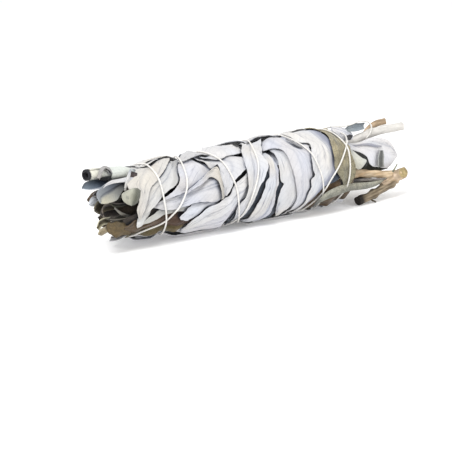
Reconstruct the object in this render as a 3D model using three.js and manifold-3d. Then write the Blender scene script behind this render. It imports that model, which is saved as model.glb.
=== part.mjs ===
// A hand-tied stick of dried white sage, lying on its side.
// Millimetres, +Z up. The leaf tips point to -X, the cut stems to +X, and the surface it lies on is z = 0.
// A place on the bundle is [x, angle]: the angle is in degrees round the axis, from the top towards -Y.
import * as THREE from "three";
import Module from "manifold-3d";

const wasm = await Module();
wasm.setup();

const DEGREE = Math.PI / 180;

// Bundle: 213 mm from the furthest leaf tip to the thickest cut stem, and 42 mm across at its waist
const LENGTH = 213;
const WAIST_RADIUS = 21;
const AXIS_HEIGHT = 19.8; // less than the waist's radius, because its own weight flattens the underside
const REST_SPAN = [-58, 52]; // the stretch that sags onto the surface
const SAG = 1; // how far its round underside would reach below the surface
const SAG_SHARPNESS = 24; // how narrow the sagging strip is
const PRESS_SHARPNESS = 8; // and the strip in which the twine is pressed deeper
const UNROLL_RADIUS = 20; // the surface is laid out flat at this radius while leaves are placed
const OUTLINE = [
  [-LENGTH / 2, WAIST_RADIUS - 6.5],
  [-86, WAIST_RADIUS - 4],
  [-66, WAIST_RADIUS - 2.4],
  [-26, WAIST_RADIUS - 0.8],
  [24, WAIST_RADIUS],
  [49, WAIST_RADIUS - 0.4],
  [64, WAIST_RADIUS - 2],
  [LENGTH / 2, WAIST_RADIUS - 6],
];

// Leaves
const LEAF_THICKNESS = 0.8;
const LEAF_GAP = 0.35; // air between a leaf and the one over it
const CLEARANCE = 0.25; // kept round a leaf where it passes through another sprig
const EASE = 0.28; // steepest slope of a leaf as it slides under its neighbour
const NEIGHBOURHOOD = 3; // how far round a point a leaf looks for leaves over it
const SLIVER = 0.05; // cuts leave no facet thinner than this
const ROOT_RADIUS = 12.6;
const ROOT_WIDTH = 3.6;
const ROOT_SWING = 14; // degrees either side of its stem at which a leaf may spring
const LEAF_SHAPE = [[0, 0], [0.1, 0.45], [0.28, 0.88], [0.5, 1], [0.72, 0.92], [0.89, 0.6], [1, 0.12]];
const ROW_TURN = 24; // degrees of the bundle, at most, from one row of a leaf's facets to the next
const ROW_LENGTH = 13;
const ROOT_LENGTH = 8; // along which a leaf dives to its root
const ROOT_STOUTNESS = 1.6; // its thickness there, as a share of the blade's
const ROOT_RISE = 0.6; // how far up towards the blade the neck of a leaf stands
const ROOT_HOLD = 0.4; // how much of the turn towards its stem the neck has made
const ROOT_INSET = 1 / 3; // share of a margin that is kept off the buried end
const LAST_ROW = 0.9; // share of the length at the last row before the tip
const LEAST_ROWS = 3;
const BROAD_LEAF = 12; // leaves wider than this have one more column of facets
const BROAD_COLUMNS = [-1, -0.34, 0.34, 1];
const SLIM_COLUMNS = [-1, 0, 1];
const STAMP_PARTS = 12; // places between two corners of a facet at which its height is noted

// Core: the pressed inner leaves of each sprig, split by the gaps between sprigs
const CORE_ENDS = [-72, 62];
const CORE_DEPTH = 5.5; // below the outline
const CORE_INNER = 7.5;
const CORE_GAP = 0.3;
const CENTRE_RADIUS = 6.8;
const CENTRE_SIDES = 10;
const CORE_STATIONS = [-45, -10, 24, 48];
const SPRIG_COUNT = 6;
const SPRIG_STEP = 360 / SPRIG_COUNT;
const STEM_RING = 10.5; // radius of the ring on which the stems stand
const STEM_CLEARANCE = 0.3;
const STEM_START = -50;
const STEM_STRAIGHT = 50; // the stem is straight up to here
const STEM_TAPER = 0.55; // thickness at its start, as a share of the cut end's
const STEM_SIDES = 8;

// Twine
const TWINE_RADIUS = 0.55;
const TWINE_SIDES = 5;
const TWINE_STEP = 15; // degrees of a turn
const TWINE_LIFT = 0.5; // over the leaves, and over the chords between its own steps
const TWINE_DIP = 1.5; // how deep it pulls the leaves in
const UNDER_DIP = 1; // and how much deeper where the bundle's weight presses it in
const TWINE_REACH = 7; // either side of the twine
const TWINE_FLOOR_GAP = 0.15; // the twine stays this far off the surface that the bundle lies on
const DIP_STEP = 6; // degrees of a turn between the places at which it pulls the leaves in
const TWINE_FEELS = 1.5; // how far round itself it finds the leaves that it lies on
const TWINE_BESIDE = [-0.5, 0, 0.5]; // and where between its steps
const CROSSING = { reach: 4, slope: 0.6, skip: 4 }; // how it climbs over a turn laid at least skip steps before
const TWINE_ROUTE = [
  [-45, 55.5], [0, 58], [19, 57], [49, 48.5], [70, 42], [102, 30], [119, 22], [180, 10], [270, 2], [360, -4],
  [382, -7.5], [418, -12], [457, -18.5], [494, -22], [540, -29], [630, -42], [720, -50], [749, -53],
  [790, -57.5], [822, -65], [844, -73], [851, -78], [900, -86], [990, -80], [1080, -70], [1170, -70.5],
  [1217, -67], [1260, -62], [1350, -48], [1440, -36], [1473, -31], [1507, -29], [1567, -24], [1620, -14],
  [1710, 4], [1800, 18], [1877, 26.5], [1927, 31], [1980, 37], [2070, 44], [2160, 47], [2209, 48],
  [2276, 46], [2340, 44.5], [2430, 48], [2475, 52.5],
];
const KNOT = { x: 54, angle: 315, radius: 2.1, tail: 15, droop: -12, bend: 0.4, lift: [1.2, 1] };

// Colours
const WHITE_LEAF = 0xd9d8dc;
const KHAKI_LEAF = 0x9c8f63;
const BROWN_LEAF = 0x7a5a36;
const GREY_GREEN_LEAF = 0xa3a48c;
const DARK_LEAF = 0x5f5138;
const PALE_STEM = 0xcfc5b0;
const TAN_STEM = 0xc09a68;
const BROWN_STEM = 0x86663f;
const TWINE_COLOUR = 0xebe7da;
const LEAF_ROUGHNESS = 0.95;
const WOOD_ROUGHNESS = 0.9;
const TWINE_ROUGHNESS = 0.9;

// Leaves of the sprigs, from the outermost inwards: where each springs, where its tip lies, and its width.
// bow bends it sideways, sink lays it deeper than its place in the pile, and rise lifts its tip off the bundle.
const OUTER_LEAVES = [
  { root: [-66, -50], tip: [-84, 104], width: 21, bow: 2 },
  { root: [-6, -40], tip: [-24, 150], width: 13.5, bow: 1.5 },
  { root: [30, -62], tip: [13, 146], width: 18, bow: 7 },
  { root: [6, -45], tip: [0, 44], width: 15 },
  { root: [-28, 76], tip: [-51, 56], width: 13, bow: 4 },
  { root: [-34, -14], tip: [-72, 80], width: 17, bow: 3 },
  { root: [10, -52], tip: [8, 156], width: 21, bow: 2, sink: 0.3 },
  { root: [-48, 6], tip: [-19, 58], width: 15, sink: 0.3 },
  { root: [-3, 34], tip: [-10, 134], width: 7.5, bow: 4, sink: 0.5 },
  { root: [2, 32], tip: [-3, 144], width: 7, bow: 3, sink: 0.7 },
  { root: [-38, 93], tip: [-62, 108], width: 8, sink: 0.2 },
  { root: [-34, 80], tip: [-78, 92], width: 11, bow: -2, sink: 0.4 },
  { root: [-12, 56], tip: [-56, 135], width: 12, bow: 3, sink: 0.4 },
  { root: [-10, 85], tip: [-50, 150], width: 12, bow: 2, sink: 0.7 },
  { root: [-55, -28], tip: [-84, 98], width: 17, bow: 3, sink: 0.6 },
  { root: [52, 58], tip: [98, 58], width: 20, sink: 2.2 },
  { root: [50, 88], tip: [76, 100], width: 9, sink: 2.6 },
  { root: [54, 8], tip: [72, -12], width: 8, rise: 3 },
  { root: [24, 165], tip: [-8, 128], width: 13, sink: 0.5 },
];

// Two broad leaves underneath, whose flattened backs carry the bundle, with rows close enough to dip at the twine
const UNDER_LEAVES = [
  { root: [54, 181], tip: [-24, 179], width: 21 },
  { root: [-10, 176], tip: [-84, 186], width: 18 },
];
const UNDER_ROW_LENGTH = 3;
const UNDER_COLUMNS = [-1, -0.4, 0, 0.4, 1];

// Leaves that have dropped from their stems and are held by the twine alone
const LOOSE_LEAVES = {
  khaki_leaf: { root: [30, -44], tip: [51, 119], width: 12.5, colour: KHAKI_LEAF },
  brown_leaf_1: { root: [-61, 104], tip: [-90, 126], width: 10, sink: 0.9, colour: BROWN_LEAF },
  brown_leaf_2: { root: [-58, 112], tip: [-76, 152], width: 10, sink: 0.9, colour: BROWN_LEAF },
  brown_leaf_3: { root: [46, 116], tip: [4, 152], width: 9, sink: 0.9, colour: BROWN_LEAF },
  grey_green_leaf: { root: [28, 136], tip: [80, 112], width: 7, sink: 0.9, colour: GREY_GREEN_LEAF },
};

// The hidden sides and the layer under the hand-placed leaves follow a rule with seeded draws
const SEED = 11;
const BACK_LEAVES = {
  count: 17, from: [46, 192], step: [-17.5, 34], reach: [44, 62], width: [13, 18], swing: 40, sink: 0.6,
  furthest: -103,
};
const BACK_SPAN = [-58, 46];
const BACK_ANGLES = [190, 340];
const INNER_LEAVES = {
  count: 6, span: [40, -46], step: 5, reach: [40, 56], width: [12, 16], swing: 30, sink: 1.6, stray: 12,
  furthest: -96,
};

// Stems: the first six stand in a ring, the last runs up the middle. Each ends at a point past the core.
const STEMS = [
  { ends: [[72, 0, 31.8], [83, 0, 34.4], [LENGTH / 2 - 0.4, 0, 34.7]], radius: 2.2, colour: PALE_STEM },
  { ends: [[72, -9.6, 24.6]], radius: 1.7, colour: TAN_STEM },
  { ends: [[64, -10, 16], [82, -11, 13], [93, -12.2, 11.6]], radius: 1.9, colour: TAN_STEM },
  { ends: [[74, 0.5, 9]], radius: 1.8, colour: BROWN_STEM },
  { ends: [[86, 10, 13]], radius: 2.1, colour: TAN_STEM },
  { ends: [[76, 9.4, 30.5], [99, 8.6, 35.6]], radius: 1.5, colour: BROWN_STEM },
  { ends: [[90, 0.5, 20.5]], radius: 2, colour: BROWN_STEM },
];
const FORKED_STEM = 2;
const TRUNK = { from: [84, -12.1, 9.2], to: [95.5, -12.6, 12.8], radius: 2.75 };
const BROKEN_BRANCH = { from: [88, -12.4, 9.6], to: [58.5, -13.5, 3], radius: 2.4 };
const TWIG = { from: [70, -13, 5], to: [74, -15.2, 1.2], radius: 0.7 };

// Loose forms at the open tip end
const ROLLED_LEAF = {
  from: [-64, -3, 30], to: [1 - LENGTH / 2, -3, 35.4], radius: 4.7, shrink: 1.35, turns: 1.3, start: 0.1,
  narrow: 0.8, rows: 5, facets: 10,
};
const TIP_LEAVES = [
  { sprig: 1, from: [-64, -7, 23], to: [-97, -9, 25.5], width: 13, fold: 3 },
  { sprig: 1, from: [-64, -11, 19], to: [-88, -14.5, 23.5], width: 9, fold: -2 },
];
const HEART_LEAVES = {
  count: 4, from: -66, reach: [22, 30], width: [8, 11], spread: 9, closest: 0.6, fold: 3, start: 30,
};

/** A repeatable stream of numbers from 0 to 1. */
function drawsFrom(seed) {
  let state = seed >>> 0;
  return () => {
    state = (state + 0x6d2b79f5) >>> 0;
    let mixed = Math.imul(state ^ (state >>> 15), state | 1);
    mixed ^= mixed + Math.imul(mixed ^ (mixed >>> 7), mixed | 61);
    return ((mixed ^ (mixed >>> 14)) >>> 0) / 4294967296;
  };
}

const mix = (low, high, share) => low + (high - low) * share;
const wrapAngle = (angle) => ((angle % 360) + 360) % 360;
const angleBetween = (from, to) => wrapAngle(to - from + 180) - 180;

/** The value of a table of [place, value] rows at a place, straight between the rows. */
function along(table, place) {
  const last = table.length - 1;
  if (place <= table[0][0]) return table[0][1];
  if (place >= table[last][0]) return table[last][1];
  const next = table.findIndex((row) => row[0] > place);
  const [start, end] = [table[next - 1], table[next]];
  return mix(start[1], end[1], (place - start[0]) / (end[0] - start[0]));
}

/** The same on a smooth curve through the rows. */
function smoothAlong(table, place) {
  const last = table.length - 1;
  const next = Math.min(Math.max(table.findIndex((row) => row[0] >= place), 1), last);
  const slope = (index) => {
    const [before, after] = [table[Math.max(index - 1, 0)], table[Math.min(index + 1, last)]];
    return (after[1] - before[1]) / (after[0] - before[0]);
  };
  const [start, end] = [table[next - 1], table[next]];
  const span = end[0] - start[0];
  const t = (place - start[0]) / span;
  const bend = t * t * (3 - 2 * t);
  const leave = t * (1 - t) * (1 - t) * span * slope(next - 1);
  const arrive = t * t * (t - 1) * span * slope(next);
  return mix(start[1], end[1], bend) + leave + arrive;
}

/** A point in space from its place on the bundle and its distance from the axis. */
function pointAt(x, angle, radius) {
  const turn = angle * DEGREE;
  return new THREE.Vector3(x, -radius * Math.sin(turn), AXIS_HEIGHT + radius * Math.cos(turn));
}

/** The place on the bundle and the distance from the axis of a point in space. */
function placeOf(point) {
  const drop = point.z - AXIS_HEIGHT;
  return [point.x, wrapAngle(Math.atan2(-point.y, drop) / DEGREE), Math.hypot(point.y, drop)];
}

/** A number for each patch of the bundle's surface, about 1 mm long and 2 degrees wide. */
class SurfaceMap {
  static start = -LENGTH / 2 - 4;
  static rows = LENGTH + 8;
  static columns = 180;

  constructor(value) {
    this.cells = new Float64Array(SurfaceMap.rows * SurfaceMap.columns).fill(value);
  }

  index(row, column) {
    const kept = Math.min(Math.max(row, 0), SurfaceMap.rows - 1);
    return kept * SurfaceMap.columns + (((column % SurfaceMap.columns) + SurfaceMap.columns) % SurfaceMap.columns);
  }

  cellOf(x, angle) {
    return [Math.round(x - SurfaceMap.start), Math.round((wrapAngle(angle) * SurfaceMap.columns) / 360)];
  }

  at(x, angle) {
    return this.cells[this.index(...this.cellOf(x, angle))];
  }

  /** Stamps a point of space into the map with Math.min or Math.max. */
  stamp(point, pick) {
    const [x, angle, radius] = placeOf(point);
    const cell = this.index(...this.cellOf(x, angle));
    this.cells[cell] = pick(this.cells[cell], radius);
  }

  /** The least or the greatest value within a distance of a place. */
  around(x, angle, distance, pick) {
    const [row, column] = this.cellOf(x, angle);
    const patch = (UNROLL_RADIUS * 2 * Math.PI) / SurfaceMap.columns;
    const [high, wide] = [Math.ceil(distance), Math.ceil(distance / patch)];
    let found = this.cells[this.index(row, column)];
    for (let i = -high; i <= high; i++) {
      for (let j = -wide; j <= wide; j++) {
        found = pick(found, this.cells[this.index(row + i, column + j)]);
      }
    }
    return found;
  }
}

/** How deep the twine pulls the leaves in, over the whole surface. */
function twineDips() {
  const dips = new SurfaceMap(0);
  const turns = [];
  const [first, last] = [TWINE_ROUTE[0][0], TWINE_ROUTE.at(-1)[0]];
  for (let turn = first; turn <= last; turn += DIP_STEP) turns.push([smoothAlong(TWINE_ROUTE, turn), wrapAngle(turn)]);
  for (let row = 0; row < SurfaceMap.rows; row++) {
    for (let column = 0; column < SurfaceMap.columns; column++) {
      const [x, angle] = [row + SurfaceMap.start, (column * 360) / SurfaceMap.columns];
      let nearest = Infinity;
      for (const [twineX, twineAngle] of turns) {
        const across = angleBetween(angle, twineAngle) * DEGREE * UNROLL_RADIUS;
        nearest = Math.min(nearest, (twineX - x) ** 2 + across ** 2);
      }
      const depth = TWINE_DIP + UNDER_DIP * Math.max(-Math.cos(angle * DEGREE), 0) ** PRESS_SHARPNESS;
      dips.cells[dips.index(row, column)] = depth * Math.max(1 - nearest / TWINE_REACH ** 2, 0) ** 2;
    }
  }
  return dips;
}

const dips = twineDips();

/** The bundle's outer radius at a place: the outline, sagging flat where it lies, pulled in at the twine. */
function skin(x, angle) {
  const down = Math.max(-Math.cos(angle * DEGREE), 0);
  const outline = along(OUTLINE, x);
  const lies = x > REST_SPAN[0] && x < REST_SPAN[1];
  const sag = lies ? Math.max(AXIS_HEIGHT + SAG - outline, 0) * down ** SAG_SHARPNESS : 0;
  return Math.min(outline + sag, AXIS_HEIGHT / down) - dips.at(x, angle);
}

/** Turns a list of corners and triangles into a solid, with its faces outwards. */
function solidOf(corners, triangles) {
  let volume = 0;
  for (const [a, b, c] of triangles) volume += corners[a].dot(corners[b].clone().cross(corners[c]));
  const ordered = volume < 0 ? triangles.map(([a, b, c]) => [a, c, b]) : triangles;
  const vertProperties = new Float32Array(corners.flatMap((corner) => corner.toArray()));
  return new wasm.Manifold(new wasm.Mesh({ numProp: 3, vertProperties, triVerts: new Uint32Array(ordered.flat()) }));
}

/** The direction square to a grid of points at one of them. */
function gridNormal(grid, i, j) {
  const [rows, columns] = [grid.length - 1, grid[0].length - 1];
  const lengthwise = grid[Math.min(i + 1, rows)][j].clone().sub(grid[Math.max(i - 1, 0)][j]);
  const across = grid[i][Math.min(j + 1, columns)].clone().sub(grid[i][Math.max(j - 1, 0)]);
  return across.cross(lengthwise).normalize();
}

/** A closed sheet whose outer face is a grid of points, split alike on both faces. */
function sheet(grid, thicknessOf) {
  const [rows, columns] = [grid.length, grid[0].length];
  const inner = grid.map((line, i) =>
    line.map((point, j) => point.clone().addScaledVector(gridNormal(grid, i, j), -thicknessOf(i))));
  const corners = [...grid.flat(), ...inner.flat()];
  const [top, under] = [(i, j) => i * columns + j, (i, j) => (rows + i) * columns + j];
  const triangles = [];
  for (let i = 0; i < rows - 1; i++) {
    for (let j = 0; j < columns - 1; j++) {
      triangles.push([top(i, j), top(i + 1, j), top(i + 1, j + 1)], [top(i, j), top(i + 1, j + 1), top(i, j + 1)]);
      triangles.push([under(i, j), under(i + 1, j + 1), under(i + 1, j)]);
      triangles.push([under(i, j), under(i, j + 1), under(i + 1, j + 1)]);
    }
  }
  const rim = [];
  for (let j = 0; j < columns - 1; j++) rim.push([0, j]);
  for (let i = 0; i < rows - 1; i++) rim.push([i, columns - 1]);
  for (let j = columns - 1; j > 0; j--) rim.push([rows - 1, j]);
  for (let i = rows - 1; i > 0; i--) rim.push([i, 0]);
  rim.forEach((here, index) => {
    const next = rim[(index + 1) % rim.length];
    triangles.push([top(...here), top(...next), under(...next)], [top(...here), under(...next), under(...here)]);
  });
  return { outer: grid, inner, solid: solidOf(corners, triangles) };
}

/** Stamps a sheet's face into a map, between its corners too. */
function stampFace(map, grid, pick, firstRow) {
  for (let i = firstRow; i < grid.length - 1; i++) {
    for (let j = 0; j < grid[0].length - 1; j++) {
      for (let a = 0; a <= STAMP_PARTS; a++) {
        for (let b = 0; b <= STAMP_PARTS; b++) {
          const near = grid[i][j].clone().lerp(grid[i][j + 1], b / STAMP_PARTS);
          const far = grid[i + 1][j].clone().lerp(grid[i + 1][j + 1], b / STAMP_PARTS);
          map.stamp(near.lerp(far, a / STAMP_PARTS), pick);
        }
      }
    }
  }
}

const ceiling = new SurfaceMap(Infinity); // underside of the leaves laid so far
const surface = new SurfaceMap(0); // their outer face

/** The sprig whose stem stands nearest to an angle. */
const sprigAt = (angle) => Math.round(wrapAngle(angle) / SPRIG_STEP) % SPRIG_COUNT;

/** The leaf's rows as [share of its length, share of its width], close enough to follow the bundle round. */
function rowsOf(leaf) {
  const [length, turn] = [leaf.tip[0] - leaf.root[0], leaf.tip[1] - leaf.root[1]];
  const round = turn * DEGREE * UNROLL_RADIUS;
  const dive = ROOT_LENGTH / Math.hypot(length, round);
  const rowLength = leaf.rowLength ?? ROW_LENGTH;
  const count = Math.ceil(Math.max(LEAST_ROWS, Math.abs(turn) / ROW_TURN, Math.abs(length) / rowLength));
  const shares = Array.from({ length: count }, (_, i) => mix(2 * dive, LAST_ROW, i / (count - 1)));
  return [0, dive, ...shares, 1].map((share) => [share, along(LEAF_SHAPE, share)]);
}

/** The leaf's places on the bundle, row by row, with a margin all round. */
function leafPlaces(leaf, margin) {
  const [start, end] = [leaf.root, leaf.tip].map(([x, angle]) =>
    new THREE.Vector2(x, angle * DEGREE * UNROLL_RADIUS));
  const run = end.clone().sub(start);
  const side = new THREE.Vector2(-run.y, run.x).normalize();
  const columns = leaf.columns ?? (leaf.width > BROAD_LEAF ? BROAD_COLUMNS : SLIM_COLUMNS);
  const rows = rowsOf(leaf);
  const stretch = margin / run.length();
  return rows.map(([share, wide], i) => {
    const t = i === 0 ? -stretch : i === rows.length - 1 ? 1 + stretch : share;
    const middle = start.clone().addScaledVector(run, t).addScaledVector(side, 4 * t * (1 - t) * (leaf.bow ?? 0));
    const half = Math.max(wide * leaf.width, ROOT_WIDTH) / 2 + margin;
    return columns.map((column) => {
      const spot = middle.clone().addScaledVector(side, column * half);
      return [spot.x, spot.y / UNROLL_RADIUS / DEGREE];
    });
  });
}

/** The distance from the axis of each point of a leaf, under the leaves over it and eased along its length. */
function leafRadii(leaf, places) {
  const rows = rowsOf(leaf);
  const free = places.map((line, i) => line.map(([x, angle]) => {
    const roof = ceiling.around(x, angle, NEIGHBOURHOOD, Math.min) - LEAF_GAP;
    const rise = (leaf.rise ?? 0) * rows[i][0] ** 2;
    return Math.min(skin(x, angle) - (leaf.sink ?? 0) + rise, roof);
  }));
  const spots = places.flatMap((line, i) => line.map(([x, angle], j) => [x, angle, free[i][j]]));
  return places.map((line, i) => line.map(([x, angle], j) => {
    let least = free[i][j];
    for (const [otherX, otherAngle, radius] of spots) {
      const across = angleBetween(angle, otherAngle) * DEGREE * UNROLL_RADIUS;
      least = Math.min(least, radius + EASE * Math.hypot(otherX - x, across));
    }
    return least;
  }));
}

/** Lays a leaf on the bundle. A leaf that grows on a sprig dives into that sprig's core at its root. */
function layLeaf(leaf) {
  const rooted = leaf.sprig !== undefined;
  const radii = leafRadii(leaf, leafPlaces(leaf, 0));
  const build = (margin, lift, extra) => {
    const places = leafPlaces(leaf, margin);
    const grid = places.map((line, i) => line.map(([x, angle], j) => {
      if (!rooted || i > 1) return pointAt(x, angle, radii[i][j] + lift);
      const stem = leaf.sprig * SPRIG_STEP;
      const off = angleBetween(stem, angle);
      const held = angle - off + Math.min(Math.max(off, -ROOT_SWING), ROOT_SWING);
      const depth = i === 0 ? ROOT_RADIUS : mix(ROOT_RADIUS, radii[i][j], ROOT_RISE);
      return pointAt(x, mix(angle, held, i === 0 ? 1 : ROOT_HOLD), depth + lift);
    }));
    grid[0].forEach((point, j) => point.lerp(grid[1][j], -margin * ROOT_INSET));
    return sheet(grid, (i) => (rooted && i < 2 ? ROOT_STOUTNESS : 1) * LEAF_THICKNESS + extra);
  };
  const laid = build(0, 0, 0);
  stampFace(ceiling, laid.inner, Math.min, rooted ? 2 : 0);
  stampFace(surface, laid.outer, Math.max, rooted ? 1 : 0);
  return { solid: laid.solid, keep: build(CLEARANCE, CLEARANCE, 2 * CLEARANCE).solid };
}

/** The leaves of the hidden sides: roots step round and along the bundle, with seeded draws. */
function seededLeaves() {
  const draw = drawsFrom(SEED);
  const between = ([low, high]) => mix(low, high, draw());
  const leaves = [];
  const { step, from } = BACK_LEAVES;
  for (let i = 0; i < BACK_LEAVES.count; i++) {
    const span = BACK_SPAN[1] - BACK_SPAN[0];
    const x = BACK_SPAN[1] - ((((BACK_SPAN[1] - from[0] - i * step[0]) % span) + span) % span);
    const turn = BACK_ANGLES[1] - BACK_ANGLES[0];
    const angle = BACK_ANGLES[0] + ((from[1] - BACK_ANGLES[0] + i * step[1]) % turn);
    const tipX = Math.max(x - between(BACK_LEAVES.reach), BACK_LEAVES.furthest);
    const tip = [tipX, angle + (draw() * 2 - 1) * BACK_LEAVES.swing];
    leaves.push({ root: [x, angle], tip, width: between(BACK_LEAVES.width), sink: draw() * BACK_LEAVES.sink });
  }
  for (let i = 0; i < INNER_LEAVES.count; i++) {
    const angle = (i * 360) / INNER_LEAVES.count + INNER_LEAVES.stray * draw();
    const share = ((i * INNER_LEAVES.step) % INNER_LEAVES.count) / (INNER_LEAVES.count - 1);
    const x = mix(...INNER_LEAVES.span, share);
    const tipX = Math.max(x - between(INNER_LEAVES.reach), INNER_LEAVES.furthest);
    const tip = [tipX, angle + (draw() * 2 - 1) * INNER_LEAVES.swing];
    leaves.push({ root: [x, angle], tip, width: between(INNER_LEAVES.width), sink: INNER_LEAVES.sink });
  }
  return leaves;
}

/** Moves two points apart along their line by a margin at each end. */
function lengthen(start, end, margin) {
  const ahead = end.clone().sub(start).normalize();
  start.addScaledVector(ahead, -2 * margin);
  end.addScaledVector(ahead, 2 * margin);
}

/** A leaf that stands free of the bundle, straight from one point to another and folded along its midrib. */
function freeLeaf({ from, to, width, fold }, margin = 0) {
  const [start, end] = [new THREE.Vector3(...from), new THREE.Vector3(...to)];
  lengthen(start, end, margin);
  const run = end.clone().sub(start);
  const outwards = new THREE.Vector3(0, end.y, end.z - AXIS_HEIGHT).normalize();
  const side = run.clone().cross(outwards).normalize();
  const back = side.clone().cross(run).normalize();
  const grid = LEAF_SHAPE.map(([share, wide]) => [-1, 0, 1].map((column) => {
    const half = Math.max(wide * width, ROOT_WIDTH) / 2 + margin;
    const crease = fold * wide * (Math.abs(column) - 0.5);
    return start.clone().addScaledVector(run, share)
      .addScaledVector(side, column * half).addScaledVector(back, crease + margin);
  }));
  return sheet(grid, () => LEAF_THICKNESS + 2 * margin).solid;
}

/** A leaf rolled up into a tube, widening to its open mouth. */
function rolledLeaf(leaf, margin = 0) {
  const { from, to, radius, shrink, turns, rows } = leaf;
  const [start, end] = [new THREE.Vector3(...from), new THREE.Vector3(...to)];
  lengthen(start, end, margin);
  const run = end.clone().sub(start);
  const side = new THREE.Vector3(0, 1, 0);
  const up = side.clone().cross(run).normalize().negate();
  const columns = Math.round(turns * leaf.facets);
  const grid = Array.from({ length: rows + 1 }, (_, i) => Array.from({ length: columns + 1 }, (_unused, j) => {
    const turn = (j / columns) * turns;
    const reach = (radius - shrink * turn) * mix(leaf.narrow, 1, i / rows) + margin;
    const angle = (turn + leaf.start) * 2 * Math.PI;
    return start.clone().addScaledVector(run, i / rows)
      .addScaledVector(side, reach * Math.cos(angle)).addScaledVector(up, reach * Math.sin(angle));
  }));
  return sheet(grid, () => LEAF_THICKNESS + 2 * margin).solid;
}

/** A solid through rings of points, closed at both ends. */
function loft(rings) {
  const sides = rings[0].length;
  const corners = rings.flat();
  const triangles = [];
  for (let i = 0; i < rings.length - 1; i++) {
    for (let j = 0; j < sides; j++) {
      const [a, b] = [i * sides + j, i * sides + ((j + 1) % sides)];
      triangles.push([a, b, b + sides], [a, b + sides, a + sides]);
    }
  }
  const last = (rings.length - 1) * sides;
  THREE.ShapeUtils.triangulateShape(flatRing(rings[0]), []).forEach(([a, b, c]) => {
    triangles.push([a, c, b], [last + a, last + b, last + c]);
  });
  return solidOf(corners, triangles);
}

/** A ring of points seen along its own axis, as the cap's outline. */
function flatRing(ring) {
  const middle = ring.reduce((sum, point) => sum.add(point), new THREE.Vector3()).divideScalar(ring.length);
  const axis = ring[0].clone().sub(middle).cross(ring[Math.floor(ring.length / 4)].clone().sub(middle)).normalize();
  const right = ring[0].clone().sub(middle).normalize();
  const up = axis.clone().cross(right);
  return ring.map((point) => {
    const arm = point.clone().sub(middle);
    return new THREE.Vector2(arm.dot(right), arm.dot(up));
  });
}

/** A round rod through a list of points, with a radius for each. */
function rod(points, radii, sides) {
  const rings = points.map((point, i) => {
    const ahead = points[Math.min(i + 1, points.length - 1)].clone().sub(points[Math.max(i - 1, 0)]).normalize();
    const across = new THREE.Vector3(0, 0, 1).addScaledVector(ahead, -ahead.z).normalize();
    const beside = ahead.clone().cross(across);
    return Array.from({ length: sides }, (_, j) => {
      const turn = (j / sides) * 2 * Math.PI;
      return point.clone().addScaledVector(across, radii[i] * Math.cos(turn))
        .addScaledVector(beside, radii[i] * Math.sin(turn));
    });
  });
  return loft(rings);
}

/** The path of a sprig's stem, straight inside the bundle and bending to its cut end. */
function stemPath(index) {
  const middle = index === SPRIG_COUNT;
  const foot = (x) => pointAt(x, index * SPRIG_STEP, middle ? 0 : STEM_RING);
  const ends = STEMS[index].ends.map((end) => new THREE.Vector3(...end));
  return [foot(STEM_START), foot(0), foot(STEM_STRAIGHT), ...ends];
}

/** A stem, thinning from its cut end towards the leaf tips. */
function stem(index, clearance = 0) {
  const points = stemPath(index);
  const { radius } = STEMS[index];
  const radii = points.map((_, i) => radius * mix(STEM_TAPER, 1, i / (points.length - 1)) + clearance);
  return rod(points, radii, STEM_SIDES);
}

/** A short straight piece of wood, blunt at both ends. */
function branch({ from, to, radius }) {
  return rod([new THREE.Vector3(...from), new THREE.Vector3(...to)], [radius, radius], STEM_SIDES);
}

/** The pressed inner leaves of one sprig: a sixth of a ring, with room for its neighbours. */
function sprigCore(index) {
  const stations = [CORE_ENDS[0], ...CORE_STATIONS, CORE_ENDS[1]];
  const rings = stations.map((x) => {
    const outer = along(OUTLINE, x) - CORE_DEPTH;
    const arc = (radius, shares) => {
      const half = SPRIG_STEP / 2 - Math.asin(CORE_GAP / 2 / radius) / DEGREE;
      return shares.map((share) => pointAt(x, index * SPRIG_STEP + share * half, radius));
    };
    return [...arc(outer, [-1, -1 / 3, 1 / 3, 1]), ...arc(CORE_INNER, [1, 0, -1])];
  });
  return loft(rings);
}

/** The pressed inner leaves of the middle sprig. */
function centreCore() {
  const corner = (x, j) => pointAt(x, (j * 360) / CENTRE_SIDES, CENTRE_RADIUS);
  const ring = (x) => Array.from({ length: CENTRE_SIDES }, (_, j) => corner(x, j));
  return loft([ring(CORE_ENDS[0]), ring(CORE_ENDS[1])]);
}

/** Brown leaf tips that stand out of the middle sprig into the open end. */
function heartLeaves() {
  const draw = drawsFrom(SEED + 1);
  return Array.from({ length: HEART_LEAVES.count }, (_, i) => {
    const angle = (i * 360) / HEART_LEAVES.count + HEART_LEAVES.start;
    const from = pointAt(HEART_LEAVES.from, angle, CENTRE_RADIUS / 2).toArray();
    const reach = mix(...HEART_LEAVES.reach, draw());
    const spread = HEART_LEAVES.spread * mix(HEART_LEAVES.closest, 1, draw());
    const to = pointAt(HEART_LEAVES.from - reach, angle, spread).toArray();
    return { from, to, width: mix(...HEART_LEAVES.width, draw()), fold: HEART_LEAVES.fold };
  });
}

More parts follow.
